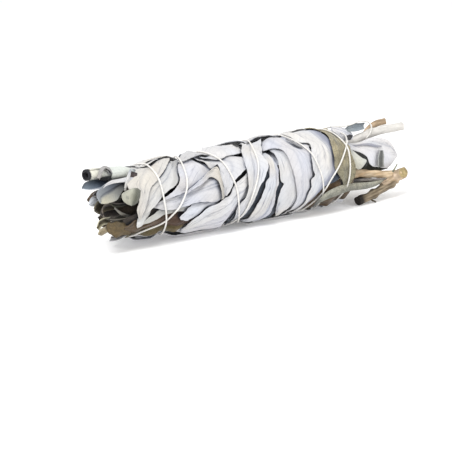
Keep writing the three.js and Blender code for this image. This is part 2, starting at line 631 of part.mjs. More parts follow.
/** The twine's path over the finished leaves, climbing over its own earlier turns. */
function twinePath() {
  const [first, last] = [TWINE_ROUTE[0][0], TWINE_ROUTE.at(-1)[0]];
  const count = Math.round((last - first) / TWINE_STEP);
  const turns = Array.from({ length: count + 1 }, (_, i) => first + i * TWINE_STEP);
  const settled = turns.map((turn) => {
    const x = smoothAlong(TWINE_ROUTE, turn);
    const under = Math.max(skin(x, turn), ...TWINE_BESIDE.map((share) => {
      const beside = turn + share * TWINE_STEP;
      return surface.around(smoothAlong(TWINE_ROUTE, beside), beside, TWINE_FEELS, Math.max);
    }));
    const floor = (AXIS_HEIGHT - TWINE_RADIUS - TWINE_FLOOR_GAP) / Math.max(-Math.cos(turn * DEGREE), 0);
    return { x, turn, radius: Math.min(under + TWINE_LIFT + TWINE_RADIUS, floor) };
  });
  settled.forEach((spot, i) => {
    settled.slice(0, Math.max(i - CROSSING.skip, 0)).forEach((earlier) => {
      const across = angleBetween(spot.turn, earlier.turn) * DEGREE * UNROLL_RADIUS;
      const distance = Math.hypot(spot.x - earlier.x, across);
      const over = earlier.radius + 2 * TWINE_RADIUS + TWINE_LIFT;
      if (distance < TWINE_STEP * DEGREE * UNROLL_RADIUS) {
        spot.radius = Math.max(spot.radius, over - Math.max(distance - CROSSING.reach, 0) * CROSSING.slope);
      }
    });
  });
  return settled;
}

/** The wound twine with its knot and tails, as one solid. */
function twine() {
  const spots = twinePath();
  const points = spots.map(({ x, turn, radius }) => pointAt(x, turn, radius));
  const rings = points.map((point, i) => {
    const ahead = points[Math.min(i + 1, points.length - 1)].clone().sub(points[Math.max(i - 1, 0)]).normalize();
    const outwards = new THREE.Vector3(0, point.y, point.z - AXIS_HEIGHT);
    outwards.addScaledVector(ahead, -outwards.dot(ahead)).normalize();
    const beside = ahead.clone().cross(outwards);
    return Array.from({ length: TWINE_SIDES }, (_, j) => {
      const turn = (j / TWINE_SIDES) * 2 * Math.PI;
      return point.clone().addScaledVector(outwards, TWINE_RADIUS * Math.cos(turn))
        .addScaledVector(beside, TWINE_RADIUS * Math.sin(turn));
    });
  });
  const height = (spots[0].radius + spots.at(-1).radius) / 2;
  const knot = new THREE.IcosahedronGeometry(KNOT.radius, 0);
  const heart = pointAt(KNOT.x, KNOT.angle, height + TWINE_RADIUS);
  const tails = [-1, 1].map((way) => {
    const middleX = KNOT.x + (way * KNOT.tail) / 2;
    const middle = pointAt(middleX, KNOT.angle + KNOT.droop * KNOT.bend, height + KNOT.lift[0]);
    const end = pointAt(KNOT.x + way * KNOT.tail, KNOT.angle + KNOT.droop, height + KNOT.lift[1]);
    return rod([heart, middle, end], Array(3).fill(TWINE_RADIUS), TWINE_SIDES);
  });
  return wasm.Manifold.union([loft(rings), solidFromGeometry(knot, heart), ...tails]);
}

/** A closed three.js geometry, moved to a place, as a solid. */
function solidFromGeometry(geometry, place) {
  const position = geometry.attributes.position;
  const corners = [];
  const seen = new Map();
  const order = [];
  for (let i = 0; i < position.count; i++) {
    const corner = new THREE.Vector3().fromBufferAttribute(position, i).add(place);
    const key = corner.toArray().map((value) => value.toFixed(4)).join();
    if (!seen.has(key)) {
      seen.set(key, corners.length);
      corners.push(corner);
    }
    order.push(seen.get(key));
  }
  return solidOf(corners, Array.from({ length: order.length / 3 }, (_, i) => order.slice(3 * i, 3 * i + 3)));
}

/** The largest single body of a solid, without slivers: a scrap that a cut has freed is dropped. */
function wholeBody(solid) {
  const largest = (bodies) => bodies.reduce((best, body) => (body.volume() > best.volume() ? body : best));
  return largest(largest(solid.decompose()).simplify(SLIVER).decompose());
}

/** Wraps a solid as a named mesh. */
function meshOf(name, solid, colour, roughness) {
  const { vertProperties, triVerts } = solid.getMesh();
  const geometry = new THREE.BufferGeometry();
  geometry.setAttribute("position", new THREE.BufferAttribute(vertProperties, 3));
  geometry.setIndex(new THREE.BufferAttribute(triVerts, 1));
  geometry.computeVertexNormals();
  const mesh = new THREE.Mesh(geometry, new THREE.MeshStandardMaterial({ color: colour, roughness, metalness: 0 }));
  mesh.name = name;
  return mesh;
}

/** Lays every leaf from the outside in, each with the node that it belongs to. */
function layAllLeaves() {
  const laid = [];
  const lay = (node, leaf) => laid.push({ node, ...layLeaf(leaf) });
  const rooted = (leaf) => {
    const sprig = sprigAt(leaf.root[1]);
    lay(`sprig_${sprig + 1}_leaves`, { ...leaf, sprig });
  };
  UNDER_LEAVES.forEach((leaf) => rooted({ ...leaf, rowLength: UNDER_ROW_LENGTH, columns: UNDER_COLUMNS }));
  lay("khaki_leaf", LOOSE_LEAVES.khaki_leaf);
  OUTER_LEAVES.forEach(rooted);
  Object.entries(LOOSE_LEAVES).slice(1).forEach(([name, leaf]) => lay(name, leaf));
  seededLeaves().forEach(rooted);
  return laid;
}

/** Cuts room for the leaves of other nodes that lie over or pass through a solid. */
function clearOf(solid, node, others) {
  return others.filter((other) => other.node !== node).reduce((left, other) => left.subtract(other.keep), solid);
}

/** The rolled and folded leaves of the open end, each with the node that it belongs to. */
function endLeaves() {
  const made = (node, make, leaf) => ({ node, solid: make(leaf), keep: make(leaf, CLEARANCE) });
  return [
    made("sprig_1_leaves", rolledLeaf, ROLLED_LEAF),
    ...TIP_LEAVES.map((leaf) => made(`sprig_${leaf.sprig + 1}_leaves`, freeLeaf, leaf)),
    ...heartLeaves().map((leaf) => made("centre_sprig_leaves", freeLeaf, leaf)),
  ];
}

/** Every leafy sprig and loose leaf, by node name. */
function leafNodes() {
  const leaves = [...layAllLeaves(), ...endLeaves()];
  const stemHoles = STEMS.map((_, index) => stem(index, STEM_CLEARANCE));
  const holed = (solid) => stemHoles.reduce((left, hole) => left.subtract(hole), solid);
  const nodes = new Map();
  const add = (node, solid) => nodes.set(node, [...(nodes.get(node) ?? []), solid]);
  for (let index = 0; index < SPRIG_COUNT; index++) {
    const name = `sprig_${index + 1}_leaves`;
    add(name, clearOf(sprigCore(index), name, leaves));
  }
  add("centre_sprig_leaves", clearOf(centreCore(), "centre_sprig_leaves", leaves));
  leaves.forEach(({ node, solid }, index) => add(node, clearOf(solid, node, leaves.slice(0, index))));
  return [...nodes].map(([name, solids]) => [name, wholeBody(holed(wasm.Manifold.union(solids)))]);
}

/** The stems, the third of them with its trunk, broken branch and twig. */
function stemNodes() {
  return STEMS.map(({ colour }, index) => {
    const name = index === SPRIG_COUNT ? "centre_stem" : index === FORKED_STEM ? "forked_stem" : `stem_${index + 1}`;
    const parts = index === FORKED_STEM ? [TRUNK, BROKEN_BRANCH, TWIG].map(branch) : [];
    return [name, wasm.Manifold.union([stem(index), ...parts]), colour];
  });
}

/** The whole stick. */
function smudgeStick() {
  const group = new THREE.Group();
  group.name = "sage_smudge_stick";
  for (const [name, solid] of leafNodes()) {
    const loose = LOOSE_LEAVES[name];
    const sprigColour = name === "centre_sprig_leaves" ? DARK_LEAF : WHITE_LEAF;
    group.add(meshOf(name, solid, loose ? loose.colour : sprigColour, LEAF_ROUGHNESS));
  }
  for (const [name, solid, colour] of stemNodes()) group.add(meshOf(name, solid, colour, WOOD_ROUGHNESS));
  group.add(meshOf("twine", twine(), TWINE_COLOUR, TWINE_ROUGHNESS));
  const middle = new THREE.Box3().setFromObject(group, true).getCenter(new THREE.Vector3());
  group.position.set(-middle.x, -middle.y, 0);
  return group;
}

export default smudgeStick();
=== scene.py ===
import math

import bpy
import numpy as np
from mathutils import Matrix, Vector


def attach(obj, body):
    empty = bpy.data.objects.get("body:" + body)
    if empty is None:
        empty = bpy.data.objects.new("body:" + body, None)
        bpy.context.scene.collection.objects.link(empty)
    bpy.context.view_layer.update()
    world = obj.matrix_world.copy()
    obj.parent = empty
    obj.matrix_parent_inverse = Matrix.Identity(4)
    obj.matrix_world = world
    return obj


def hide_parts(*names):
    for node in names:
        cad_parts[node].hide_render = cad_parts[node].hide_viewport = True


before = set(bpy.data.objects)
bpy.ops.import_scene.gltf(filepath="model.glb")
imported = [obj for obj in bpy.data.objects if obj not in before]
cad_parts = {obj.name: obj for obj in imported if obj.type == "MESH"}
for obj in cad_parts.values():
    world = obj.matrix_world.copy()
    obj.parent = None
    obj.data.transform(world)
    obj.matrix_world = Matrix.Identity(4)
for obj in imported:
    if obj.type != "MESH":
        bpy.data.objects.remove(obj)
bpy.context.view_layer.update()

bpy.ops.object.select_all(action="DESELECT")

# Bundle
LENGTH = 0.213
WAIST_RADIUS = 0.021
AXIS = (-0.00003, -0.0003, 0.0198)
REST_SPAN = (-0.058, 0.052)
SAG = 0.001
SAG_SHARPNESS = 24
FLOOR_GAP = 0.0001
UNROLL_RADIUS = 0.020
DEGREE_ARC = math.radians(1) * UNROLL_RADIUS
OUTLINE = [
    (-LENGTH / 2, WAIST_RADIUS - 0.0065), (-0.086, WAIST_RADIUS - 0.004), (-0.066, WAIST_RADIUS - 0.0024),
    (-0.026, WAIST_RADIUS - 0.0008), (0.024, WAIST_RADIUS), (0.049, WAIST_RADIUS - 0.0004),
    (0.064, WAIST_RADIUS - 0.002), (LENGTH / 2, WAIST_RADIUS - 0.006),
]
SPRIG_COUNT = 6

# Leaves: how they lie
BLADE = 0.00038
LEAF_GAP = 0.00042
SLIDE_REACH = 0.0014  # how far round a point a leaf feels the leaves over it
EASE = 0.5  # steepest slope as it slides under its neighbour
ROOT_SHARE = 0.14
ROOT_DIVE = 0.006
LEAST_RADIUS = 0.004
SUNK_SHARE = 0.09  # the first part of a leaf, which the leaves laid after it may cover
LEAF_SHAPE = [(0, 0.12), (0.1, 0.5), (0.28, 0.9), (0.5, 1), (0.72, 0.9), (0.89, 0.56), (1, 0.04)]
GRADES = {"fine": (120, 28), "medium": (60, 14), "coarse": (34, 8)}  # rows and columns of a leaf's mesh

# Leaves: their relief, finer on leaves narrower than the slim width
SLIM_WIDTH = 0.012
LEAST_SLIM = 0.25
RIB_DEPTH = 0.00016
FREE_RIB_DEPTH = 0.00012
CUP = (-0.00035, 0.00025)
PLEAT_DEPTH = 0.00009
PLEATS = 2.3
WAVES = [(0.0075, 0.0002), (0.0022, 0.00007)]  # size and height
EDGE_LIFT = 0.0005
TORN_SIZES = (0.0035, 0.0012)
TORN_DEPTH = 0.00016
TORN_TURN = 0.5
FOLD_WIDTH = 0.035  # as a share of the leaf's width
LUMP_SIZE = 0.006
LUMP_SHARE = 0.06
TO_FRONT = np.array([-0.6, -0.75, 0.3])

# Leaves: shade in creases, beside and under other leaves, and at the root
CREVICE_REACH = 0.0009
CREVICE_DEPTH = 0.0009
CREVICE_PATCH = 0.007
SHADOW_REACH = 0.0024
SHADOW_PATCH = 0.012
MOST_SHADOW = 0.45
FOLD_SHADE = 1400  # for each metre of depth
MOST_FOLD_SHADE = 0.5
ROOT_DARK = (0.0, 0.3, 0.5)  # full until a share of the length, fading over another, and how strong
RIM_FADE = 0.16

# Leaves: how uneven their colour is
WARMTH = np.array([0.035, 0.012, -0.03])
WARM_PATCH = 0.011
LIGHTNESS = 0.035
LIGHT_PATCH = 0.006
LEAF_TO_LEAF = 0.04

# Leaves of the unseen side, of the inside and of the open ends
BACK_COUNT = 52
BACK_WIDTH = (0.014, 0.020)
BACK_BOW = (-0.004, 0.004)
BACK_SINK = (0, 0.0006)
INNER_COUNT = 40
INNER_WIDTH = (0.016, 0.022)
INNER_SINK = 0.0020
ROOT_SPAN = 0.112
RUN = (0.040, 0.056)
BROWN_FROM = -0.078
HEARTS = ((-0.070, -0.028, 9, 0.0095), (0.052, 0.014, 6, 0.010))  # start, reach, count, radius of the ring
HEART_WIDTH = (0.006, 0.009)
HEART_CRUMPLE = 0.0006

# Twine
TWINE_RADIUS = 0.00040
TWINE_PLIES = 3
TWINE_SIDES = 12
TWINE_BED = 0.85  # height of its middle over what it lies on, in radii
PLY_CORE = 0.78
PLY_LOBE = 0.3
PLY_PITCH = 0.0012
RING_STEP = 0.00042
TWINE_DIP = 0.0016
DIP_STEP = 3.0  # degrees of a turn
UNDER_DIP = 0.001
PRESS_SHARPNESS = 8
TWINE_REACH = 0.0062
TWINE_STEP = 1.2  # degrees of a turn
TWINE_FEELS = 0.0006
TWINE_SINKS = 0.0012  # how far it presses in where no leaf carries it
CROSSING_WIDTH = 0.0012
CROSSING_REACH = 0.0035
CROSSING_SLOPE = 0.7
TAUT_ROUNDS = 120
TWINE_ROUTE = [
    (-45, 0.0555), (0, 0.058), (19, 0.057), (49, 0.0485), (70, 0.0415), (96, 0.033), (112, 0.03),
    (135, 0.0255), (180, 0.0155), (270, 0.002), (360, -0.004), (382, -0.0075), (418, -0.012), (457, -0.0185),
    (494, -0.022), (540, -0.029), (630, -0.042), (720, -0.05), (749, -0.053), (790, -0.0575), (822, -0.065),
    (844, -0.073), (849, -0.077), (856, -0.0802), (872, -0.0822), (900, -0.0835), (990, -0.079),
    (1080, -0.07), (1170, -0.0705), (1217, -0.067), (1260, -0.062), (1350, -0.048), (1440, -0.036),
    (1473, -0.031), (1507, -0.029), (1567, -0.024), (1620, -0.014), (1710, 0.004), (1800, 0.018),
    (1877, 0.0265), (1927, 0.031), (1980, 0.037), (2070, 0.044), (2160, 0.047), (2209, 0.048), (2276, 0.046),
    (2340, 0.0445), (2430, 0.048), (2475, 0.0525),
]
KNOT = (0.054, 315)
KNOT_SIZE = 0.0007
KNOT_LIFT = 0.0012
STEM_HITCH = [
    (0.056, 0.012, 0.0365), (0.0575, 0.005, 0.0392), (0.0605, -0.0015, 0.0402), (0.0637, -0.003, 0.0408),
    (0.0683, -0.003, 0.0416), (0.0745, -0.002, 0.0411), (0.0789, -0.001, 0.0401), (0.0808, -0.0015, 0.038),
    (0.0792, -0.0028, 0.0355), (0.0762, -0.003, 0.0325), (0.0735, -0.0005, 0.03), (0.0715, 0.0025, 0.03),
]
SHORT_TAIL = [(0.053, 0.015, 0.0352), (0.051, 0.0172, 0.033), (0.0495, 0.0195, 0.029), (0.05, 0.0208, 0.0245)]

# Materials: scales of their noise, depths of their relief and tints
BLOTCHES = 260
SPECKS = 1500
DOWN = 1200
DOWN_DEPTH = 0.00018
SIDE_VEINS = 17
VEIN_DEPTH = 0.00012
# painted shade in the vein grooves
VEIN_SHADE = (0.80, 0.80, 0.84, 1)
VEIN_SHARE = 0.35
# painted shade in the fine creases of the leaves
CREASE_SHADE = (0.50, 0.51, 0.57, 1)
STREAKS = 700
STREAK_DEPTH = 0.0004
LINT = 3000
LINT_DEPTH = 0.0001
TWINE_TONES = ((0.60, 0.58, 0.54), (0.72, 0.70, 0.67))

# Camera and light; of each lamp its name, place, size and power in watts
EYE = (-0.517375, -0.585995, 0.19102)
LOOK = (0.62887, 0.73892, -0.24192)
LENS = 127.43
LAMPS = [("key", (-0.55, -0.25, 0.75), 0.4, 6.8), ("fill", (0.5, -0.8, 0.5), 0.8, 2.8)]
SKY = 0.85
FLOOR_GLOW = 0.12

# Colours, linear
LAVENDER = (0.555, 0.552, 0.578)
PALE = (0.568, 0.565, 0.572)
CREAM = (0.550, 0.525, 0.488)
WARM = (0.560, 0.548, 0.530)
COOL = (0.510, 0.530, 0.560)
BRIGHT = (0.645, 0.64, 0.655)
OLIVE = (0.135, 0.098, 0.040)
OLIVE_BROWN = (0.105, 0.085, 0.040)
RUSSET = (0.085, 0.048, 0.032)
BARK_BROWN = (0.10, 0.065, 0.035)
# painted shade: near black leaves and fills for the shade deep between the leaves; the brown one is brown
# leaves in that shade
DEEP_SHADE = (0.055, 0.057, 0.066)
DEEP_BLUE_SHADE = (0.060, 0.072, 0.090)
DEEP_BROWN_SHADE = (0.034, 0.026, 0.020)
# near black, for the branch's broken end
NEAR_BLACK = (0.02, 0.015, 0.012)
SHADE = (0.42, 0.46, 0.56)
SHADE_EDGE = (0.27, 0.28, 0.335)
# painted shade: the near black of the deepest crevices between leaves
CREVICE_SHADE = (0.010, 0.010, 0.015)
BACK_TINTS = [LAVENDER, PALE, PALE, CREAM, COOL, WARM]
HEART_TINTS = [(0.10, 0.07, 0.045), (0.16, 0.13, 0.09), (0.06, 0.045, 0.03), (0.24, 0.23, 0.19)]

# Leaves of the seen side, from the outermost inwards, each by its two edges from root to tip
SEEN_LEAVES = {
    "khaki": dict(
        left=[(0.036, -38), (0.038, -20), (0.0387, -8), (0.04, 5), (0.041, 18), (0.0397, 35), (0.0378, 50),
              (0.037, 65), (0.0371, 77), (0.0393, 90), (0.043, 104), (0.0452, 112)],
        right=[(0.046, -38), (0.0485, -20), (0.05, -6), (0.0492, 8), (0.0465, 22), (0.0482, 34),
               (0.0505, 42), (0.05, 63), (0.0508, 80), (0.0505, 92), (0.0485, 104), (0.0462, 113)],
        piece="khaki_leaf", colour=(0.43, 0.375, 0.245), tip_colour=(0.265, 0.242, 0.16), lift=1.6,
        raise_=0.0006, folds=[(0.35, 0.0002), (0.62, 0.0002)]),
    "top_stem_end": dict(
        left=[(0.056, -44), (0.044, -38), (0.032, -34), (0.024, -28)],
        right=[(0.052, -18), (0.044, -13), (0.034, -12), (0.0245, -20)],
        grade="medium", sprig=6, colour=WARM, raise_=0.0008, lift=1.5, root_dive=0.003),
    # outer_end: towards its right edge painted in the shade colour, as the khaki leaf's shadow
    "outer_end": dict(
        left=[(0.02, -38), (0.021, 0), (0.023, 27), (0.0262, 33), (0.0258, 42), (0.0237, 53), (0.0227, 62),
              (0.0215, 75), (0.0218, 81), (0.019, 88), (0.0195, 98), (0.0182, 109), (0.018, 118),
              (0.013, 146)],
        right=[(0.044, -38), (0.043, -12), (0.0405, 15), (0.04, 39), (0.0395, 52), (0.0393, 66),
               (0.0385, 78), (0.0365, 88), (0.033, 96), (0.0295, 104), (0.0253, 111), (0.021, 121),
               (0.0135, 148)],
        sprig=6, colour=(0.6, 0.595, 0.595), folds=[(0.7, 0.00015), (0.3, 0.0001)], rim=(SHADE_EDGE, 0.68)),
    "top_middle": dict(
        left=[(0.026, -44), (0.01, -40), (-0.008, -36), (-0.022, -26)],
        right=[(0.03, -10), (0.014, -6), (0.0, -5), (-0.01, -6), (-0.0215, -18)],
        grade="medium", sprig=6, colour=PALE, raise_=0.0009, lift=1.4, root_dive=0.003),
    # top_seam: a near black strip, painted as the shade of the seam along the top
    "top_seam": dict(
        left=[(0.02, -14), (0.01, -14), (-0.008, -14), (-0.0185, -16)],
        right=[(0.018, -11), (0.012, -6), (0.004, -4), (-0.004, -6), (-0.01, -4), (-0.016, -7),
               (-0.019, -14)],
        grade="medium", sprig=6, colour=(0.03, 0.03, 0.036), raise_=0.0003, lift=0, root_dive=0.001),
    "top_tip": dict(
        left=[(-0.048, -34), (-0.06, -30), (-0.07, -28), (-0.077, -22)],
        right=[(-0.047, -6), (-0.056, -3), (-0.064, -5), (-0.071, -10), (-0.077, -19)],
        grade="medium", sprig=6, colour=WARM, raise_=0.0005, lift=1.3, root_dive=0.003),
    "tip_under": dict(
        left=[(-0.06, -34), (-0.068, -12), (-0.0745, 2)],
        right=[(-0.056, -14), (-0.064, 2), (-0.0745, 6)],
        grade="medium", sprig=6, colour=WARM, raise_=0.0004, lift=1.6, root_dive=0.003),
    "tip_broad": dict(
        left=[(-0.06, -40), (-0.0705, -10), (-0.078, 6.4), (-0.0837, 23), (-0.0872, 38), (-0.088, 50),
              (-0.0852, 62), (-0.0852, 74), (-0.0866, 83), (-0.0852, 102)],
        right=[(-0.044, -40), (-0.051, -12), (-0.061, 22), (-0.071, 44), (-0.077, 58), (-0.0815, 81),
               (-0.0848, 103)],
        sprig=6, colour=(0.51, 0.487, 0.45), folds=[(0.45, 0.00012)]),
    "middle_band": dict(
        left=[(0.0, -40), (-0.007, -14), (-0.011, 7), (-0.018, 33), (-0.02, 52), (-0.0205, 63), (-0.021, 81),
              (-0.023, 98), (-0.026, 112), (-0.0255, 128), (-0.024, 148)],
        right=[(0.018, -40), (0.008, -12), (0.0, 12), (-0.0045, 31), (-0.0062, 43), (-0.0058, 52),
               (-0.0076, 63), (-0.0102, 72.5), (-0.0134, 84), (-0.0163, 99), (-0.0188, 118), (-0.0205, 135),
               (-0.0235, 149)],
        sprig=6, colour=PALE, folds=[(0.45, 0.00018)]),
    # hood: its fold near the outer edge paints a band of shade along it
    "hood": dict(
        left=[(-0.0366, 93), (-0.037, 83), (-0.0376, 72), (-0.0374, 58), (-0.0372, 46), (-0.042, 50),
              (-0.047, 57), (-0.0525, 65.5), (-0.0572, 73)],
        right=[(-0.0374, 93), (-0.038, 84), (-0.0387, 74), (-0.04, 64), (-0.0426, 58.5), (-0.0466, 61.5),
               (-0.05, 66), (-0.0535, 69), (-0.0574, 74.5)],
        sprig=2, colour=(0.47, 0.445, 0.4), tip_colour=LAVENDER, lift=1.6, raise_=0.0009, root_dive=0.001,
        folds=[(0.15, 0.0004)]),
    # hood_gap: a near black sheet, painted as the shade above the hood's apex
    "hood_gap": dict(
        left=[(-0.035, 40), (-0.0368, 42), (-0.0398, 46.5), (-0.0418, 49.5)],
        right=[(-0.0352, 47), (-0.036, 51.5), (-0.0378, 54), (-0.0416, 51.5)],
        grade="medium", sprig=2, colour=(0.02, 0.02, 0.026), root_dive=0.0, lift=0),
    "top_lens": dict(
        left=[(-0.032, 6), (-0.0348, 4), (-0.0393, 0.5), (-0.0449, 1), (-0.0502, 7), (-0.0522, 13)],
        right=[(-0.032, 12), (-0.0372, 16), (-0.043, 19), (-0.049, 18.5), (-0.0521, 15)],
        grade="medium", sprig=1, colour=(0.5, 0.5, 0.51), raise_=0.0008, lift=1.4, root_dive=0.001),
    "top_back": dict(
        left=[(-0.018, -40), (-0.026, -22), (-0.033, -6), (-0.038, 8), (-0.0405, 19)],
        right=[(-0.004, -40), (-0.0125, -15), (-0.015, 0), (-0.0172, 10), (-0.017, 15), (-0.015, 20),
               (-0.015, 25), (-0.019, 28.5), (-0.027, 28.5), (-0.036, 26), (-0.0405, 21)],
        sprig=1, colour=PALE, lift=1.3, root_dive=0.003),
    # top_dark: a near black sheet, painted as the shade in a gap between the top leaves
    "top_dark": dict(
        left=[(-0.008, -20), (-0.014, -4), (-0.019, 12), (-0.022, 24)],
        right=[(0.0, -20), (-0.006, -2), (-0.01, 14), (-0.014, 26)],
        grade="medium", sprig=1, colour=(0.025, 0.025, 0.03), root_dive=0.002),
    "round_back": dict(
        left=[(-0.046, -24), (-0.045, 5), (-0.043, 20), (-0.041, 36), (-0.039, 46), (-0.0375, 56),
              (-0.0365, 67), (-0.036, 79), (-0.0358, 88)],
        right=[(-0.02, -24), (-0.021, 8), (-0.021, 26), (-0.019, 36), (-0.0186, 44), (-0.02, 55),
               (-0.024, 61), (-0.0285, 70), (-0.031, 77), (-0.0352, 88)],
        sprig=1, colour=(0.545, 0.54, 0.545), folds=[(0.62, 0.00015)], crevice=0.7),
    "tip_shoulder": dict(
        left=[(-0.036, -40), (-0.044, -12), (-0.052, 15), (-0.0565, 32), (-0.0595, 53), (-0.0655, 68),
              (-0.0702, 76)],
        right=[(-0.022, -40), (-0.032, -10), (-0.04, 10), (-0.04, 30), (-0.0395, 46), (-0.0445, 54),
               (-0.05, 63), (-0.056, 71), (-0.062, 74), (-0.07, 77.5)],
        sprig=1, colour=(0.505, 0.5, 0.52), crevice=0.75),
    # belly_slit: a dark grey strip, painted as the shade in a slit between leaves
    "belly_slit": dict(
        left=[(0.016, 15), (0.0169, 25), (0.0187, 32), (0.0214, 37)],
        right=[(0.0166, 14), (0.0182, 23), (0.0198, 30), (0.0217, 36)],
        grade="medium", sprig=6, colour=(0.22, 0.22, 0.23), lift=0, root_dive=0),
    "belly": dict(
        left=[(0.0, -38), (-0.004, 0), (-0.0055, 20), (-0.003, 28), (0.003, 30), (0.007, 37), (0.0075, 46),
              (0.0075, 58), (0.008, 73), (0.009, 89), (0.011, 114), (0.01, 138), (0.0085, 154)],
        right=[(0.026, -38), (0.026, 0), (0.0255, 28), (0.0255, 45), (0.025, 62), (0.0245, 80), (0.0232, 90),
               (0.0225, 100), (0.021, 112), (0.019, 122), (0.014, 142), (0.0095, 156)],
        sprig=6, colour=LAVENDER, folds=[(0.35, 0.00012), (0.7, 0.00012)]),
    "belly_left": dict(
        left=[(0.004, -34), (0.003, -10), (0.002, 14), (0.001, 34), (0.0003, 52), (-0.0007, 70),
              (-0.0007, 82), (0.0008, 85.5), (-0.0008, 93), (-0.002, 105), (0.0, 130), (0.003, 143),
              (0.006, 158)],
        right=[(0.012, -34), (0.012, -8), (0.0125, 18), (0.0135, 40), (0.014, 65), (0.0145, 90),
               (0.014, 120), (0.011, 145), (0.0075, 159)],
        sprig=6, colour=PALE, crevice=0.16),
    "strap": dict(
        left=[(-0.003, -36), (-0.004, -10), (-0.005, 16), (-0.005, 38), (-0.0048, 50), (-0.0052, 60),
              (-0.0066, 69), (-0.0098, 83), (-0.0124, 96), (-0.0145, 109), (-0.0159, 122), (-0.0167, 137),
              (-0.0177, 150)],
        right=[(-0.0005, -36), (-0.0012, -10), (-0.0018, 16), (-0.0022, 40), (-0.0028, 55), (-0.0036, 72),
               (-0.0052, 92), (-0.007, 109), (-0.0082, 128), (-0.0115, 143), (-0.0162, 151)],
        sprig=2, colour=PALE, folds=[(0.4, 0.0002), (0.7, 0.0002)]),
    "strap_back": dict(
        left=[(-0.002, -36), (-0.0035, -8), (-0.0045, 24), (-0.005, 50), (-0.0062, 75), (-0.0094, 108),
              (-0.0114, 130), (-0.011, 150)],
        right=[(0.0015, -36), (0.0006, -8), (-0.0001, 24), (-0.0006, 46), (-0.0008, 60), (-0.0015, 77),
               (-0.002, 84), (-0.0034, 94), (-0.004, 108), (-0.0038, 118), (-0.0036, 131), (-0.0055, 143),
               (-0.0095, 151)],
        sprig=2, colour=LAVENDER, folds=[(0.5, 0.0002), (0.68, 0.0003)], crevice=0.32, shadow=0.25),
    "wedge_fill": dict(
        left=[(-0.014, -10), (-0.013, 12), (-0.012, 34), (-0.0105, 54)],
        right=[(0.01, -10), (0.011, 12), (0.01, 34), (0.003, 58)],
        sprig=2, colour=PALE, crevice=0.5, folds=[(0.35, 0.0003), (0.55, 0.0003), (0.7, 0.0002)]),
    # gap_fill: a dark blue sheet, painted as the shade in the gaps between the leaves over it
    "gap_fill": dict(
        left=[(-0.01, 50), (-0.014, 66), (-0.017, 82), (-0.022, 102), (-0.026, 125), (-0.028, 150)],
        right=[(0.006, 46), (0.008, 62), (0.009, 80), (0.008, 100), (0.005, 125), (-0.004, 152)],
        grade="medium", sprig=2, colour=DEEP_BLUE_SHADE, root_dive=0.0),
    "long_low": dict(
        left=[(-0.004, 26), (-0.012, 45), (-0.0195, 61), (-0.0238, 67.5), (-0.0278, 74.5), (-0.03, 80.5),
              (-0.0338, 90), (-0.037, 94), (-0.04, 97), (-0.044, 100), (-0.048, 104), (-0.051, 112),
              (-0.054, 118), (-0.057, 134)],
        right=[(-0.004, 66), (-0.012, 84), (-0.02, 97), (-0.028, 105), (-0.034, 113), (-0.038, 119),
               (-0.045, 127), (-0.05, 134), (-0.0565, 138)],
        sprig=2, colour=PALE, folds=[(0.55, 0.0003)], crevice=0.45),
    "tip_strip": dict(
        left=[(-0.046, -38), (-0.053, -14), (-0.0615, 23), (-0.0725, 46), (-0.078, 60), (-0.0818, 82),
              (-0.0848, 106)],
        right=[(-0.038, -38), (-0.044, -10), (-0.0535, 27), (-0.0575, 39), (-0.06, 54), (-0.068, 66),
               (-0.0725, 76), (-0.078, 87), (-0.082, 98), (-0.0855, 108)],
        sprig=1, colour=(0.495, 0.49, 0.48), folds=[(0.4, 0.0003)]),
    "under_hood": dict(
        left=[(-0.032, 62), (-0.04, 57), (-0.048, 63), (-0.055, 68.5), (-0.062, 73), (-0.07, 78),
              (-0.0768, 85)],
        right=[(-0.032, 94), (-0.0385, 93), (-0.042, 94.5), (-0.048, 90.5), (-0.052, 90), (-0.058, 93),
               (-0.065, 96), (-0.072, 93), (-0.0772, 86.5)],
        sprig=2, colour=(0.51, 0.505, 0.515), folds=[(0.3, 0.00025), (0.42, 0.0002)], shadow=1.5),
    "petal": dict(
        left=[(-0.03, 86), (-0.038, 91), (-0.042, 91), (-0.046, 89), (-0.051, 90), (-0.056, 96),
              (-0.06, 104), (-0.0618, 111)],
        right=[(-0.03, 98), (-0.038, 101), (-0.044, 104), (-0.048, 106), (-0.0505, 110), (-0.0535, 115),
               (-0.0575, 116.5), (-0.0612, 113)],
        sprig=3, colour=PALE),
    "low_back": dict(
        left=[(-0.006, 90), (-0.02, 92), (-0.028, 101), (-0.038, 112), (-0.046, 120), (-0.056, 140)],
        right=[(-0.004, 126), (-0.014, 138), (-0.024, 147), (-0.034, 154), (-0.044, 156), (-0.056, 147)],
        sprig=2, colour=LAVENDER, folds=[(0.5, 0.0002)], crevice=0.5),
    "low_front": dict(
        left=[(-0.002, 118), (-0.012, 128), (-0.022, 138), (-0.034, 146), (-0.046, 150)],
        right=[(-0.002, 150), (-0.012, 158), (-0.022, 164), (-0.034, 168), (-0.046, 160)],
        grade="medium", sprig=4, colour=COOL),
    "grey_tip": dict(
        left=[(-0.05, 92), (-0.06, 92), (-0.068, 92.5), (-0.074, 94.5), (-0.079, 101), (-0.0822, 110)],
        right=[(-0.05, 104), (-0.06, 102), (-0.068, 103), (-0.074, 106), (-0.079, 111), (-0.0822, 113)],
        sprig=3, colour=(0.46, 0.46, 0.44), sink=0.0004),
    # under_khaki: a dark blue sheet, painted as the shadow under the khaki leaf's edges
    "under_khaki": dict(
        left=[(0.03, -38), (0.031, 0), (0.031, 40), (0.031, 70), (0.03, 92), (0.024, 108)],
        right=[(0.052, -38), (0.051, 0), (0.05, 40), (0.049, 66), (0.042, 90), (0.026, 110)],
        grade="medium", sprig=1, colour=DEEP_BLUE_SHADE, sink=0.0004),
    "red_low": dict(
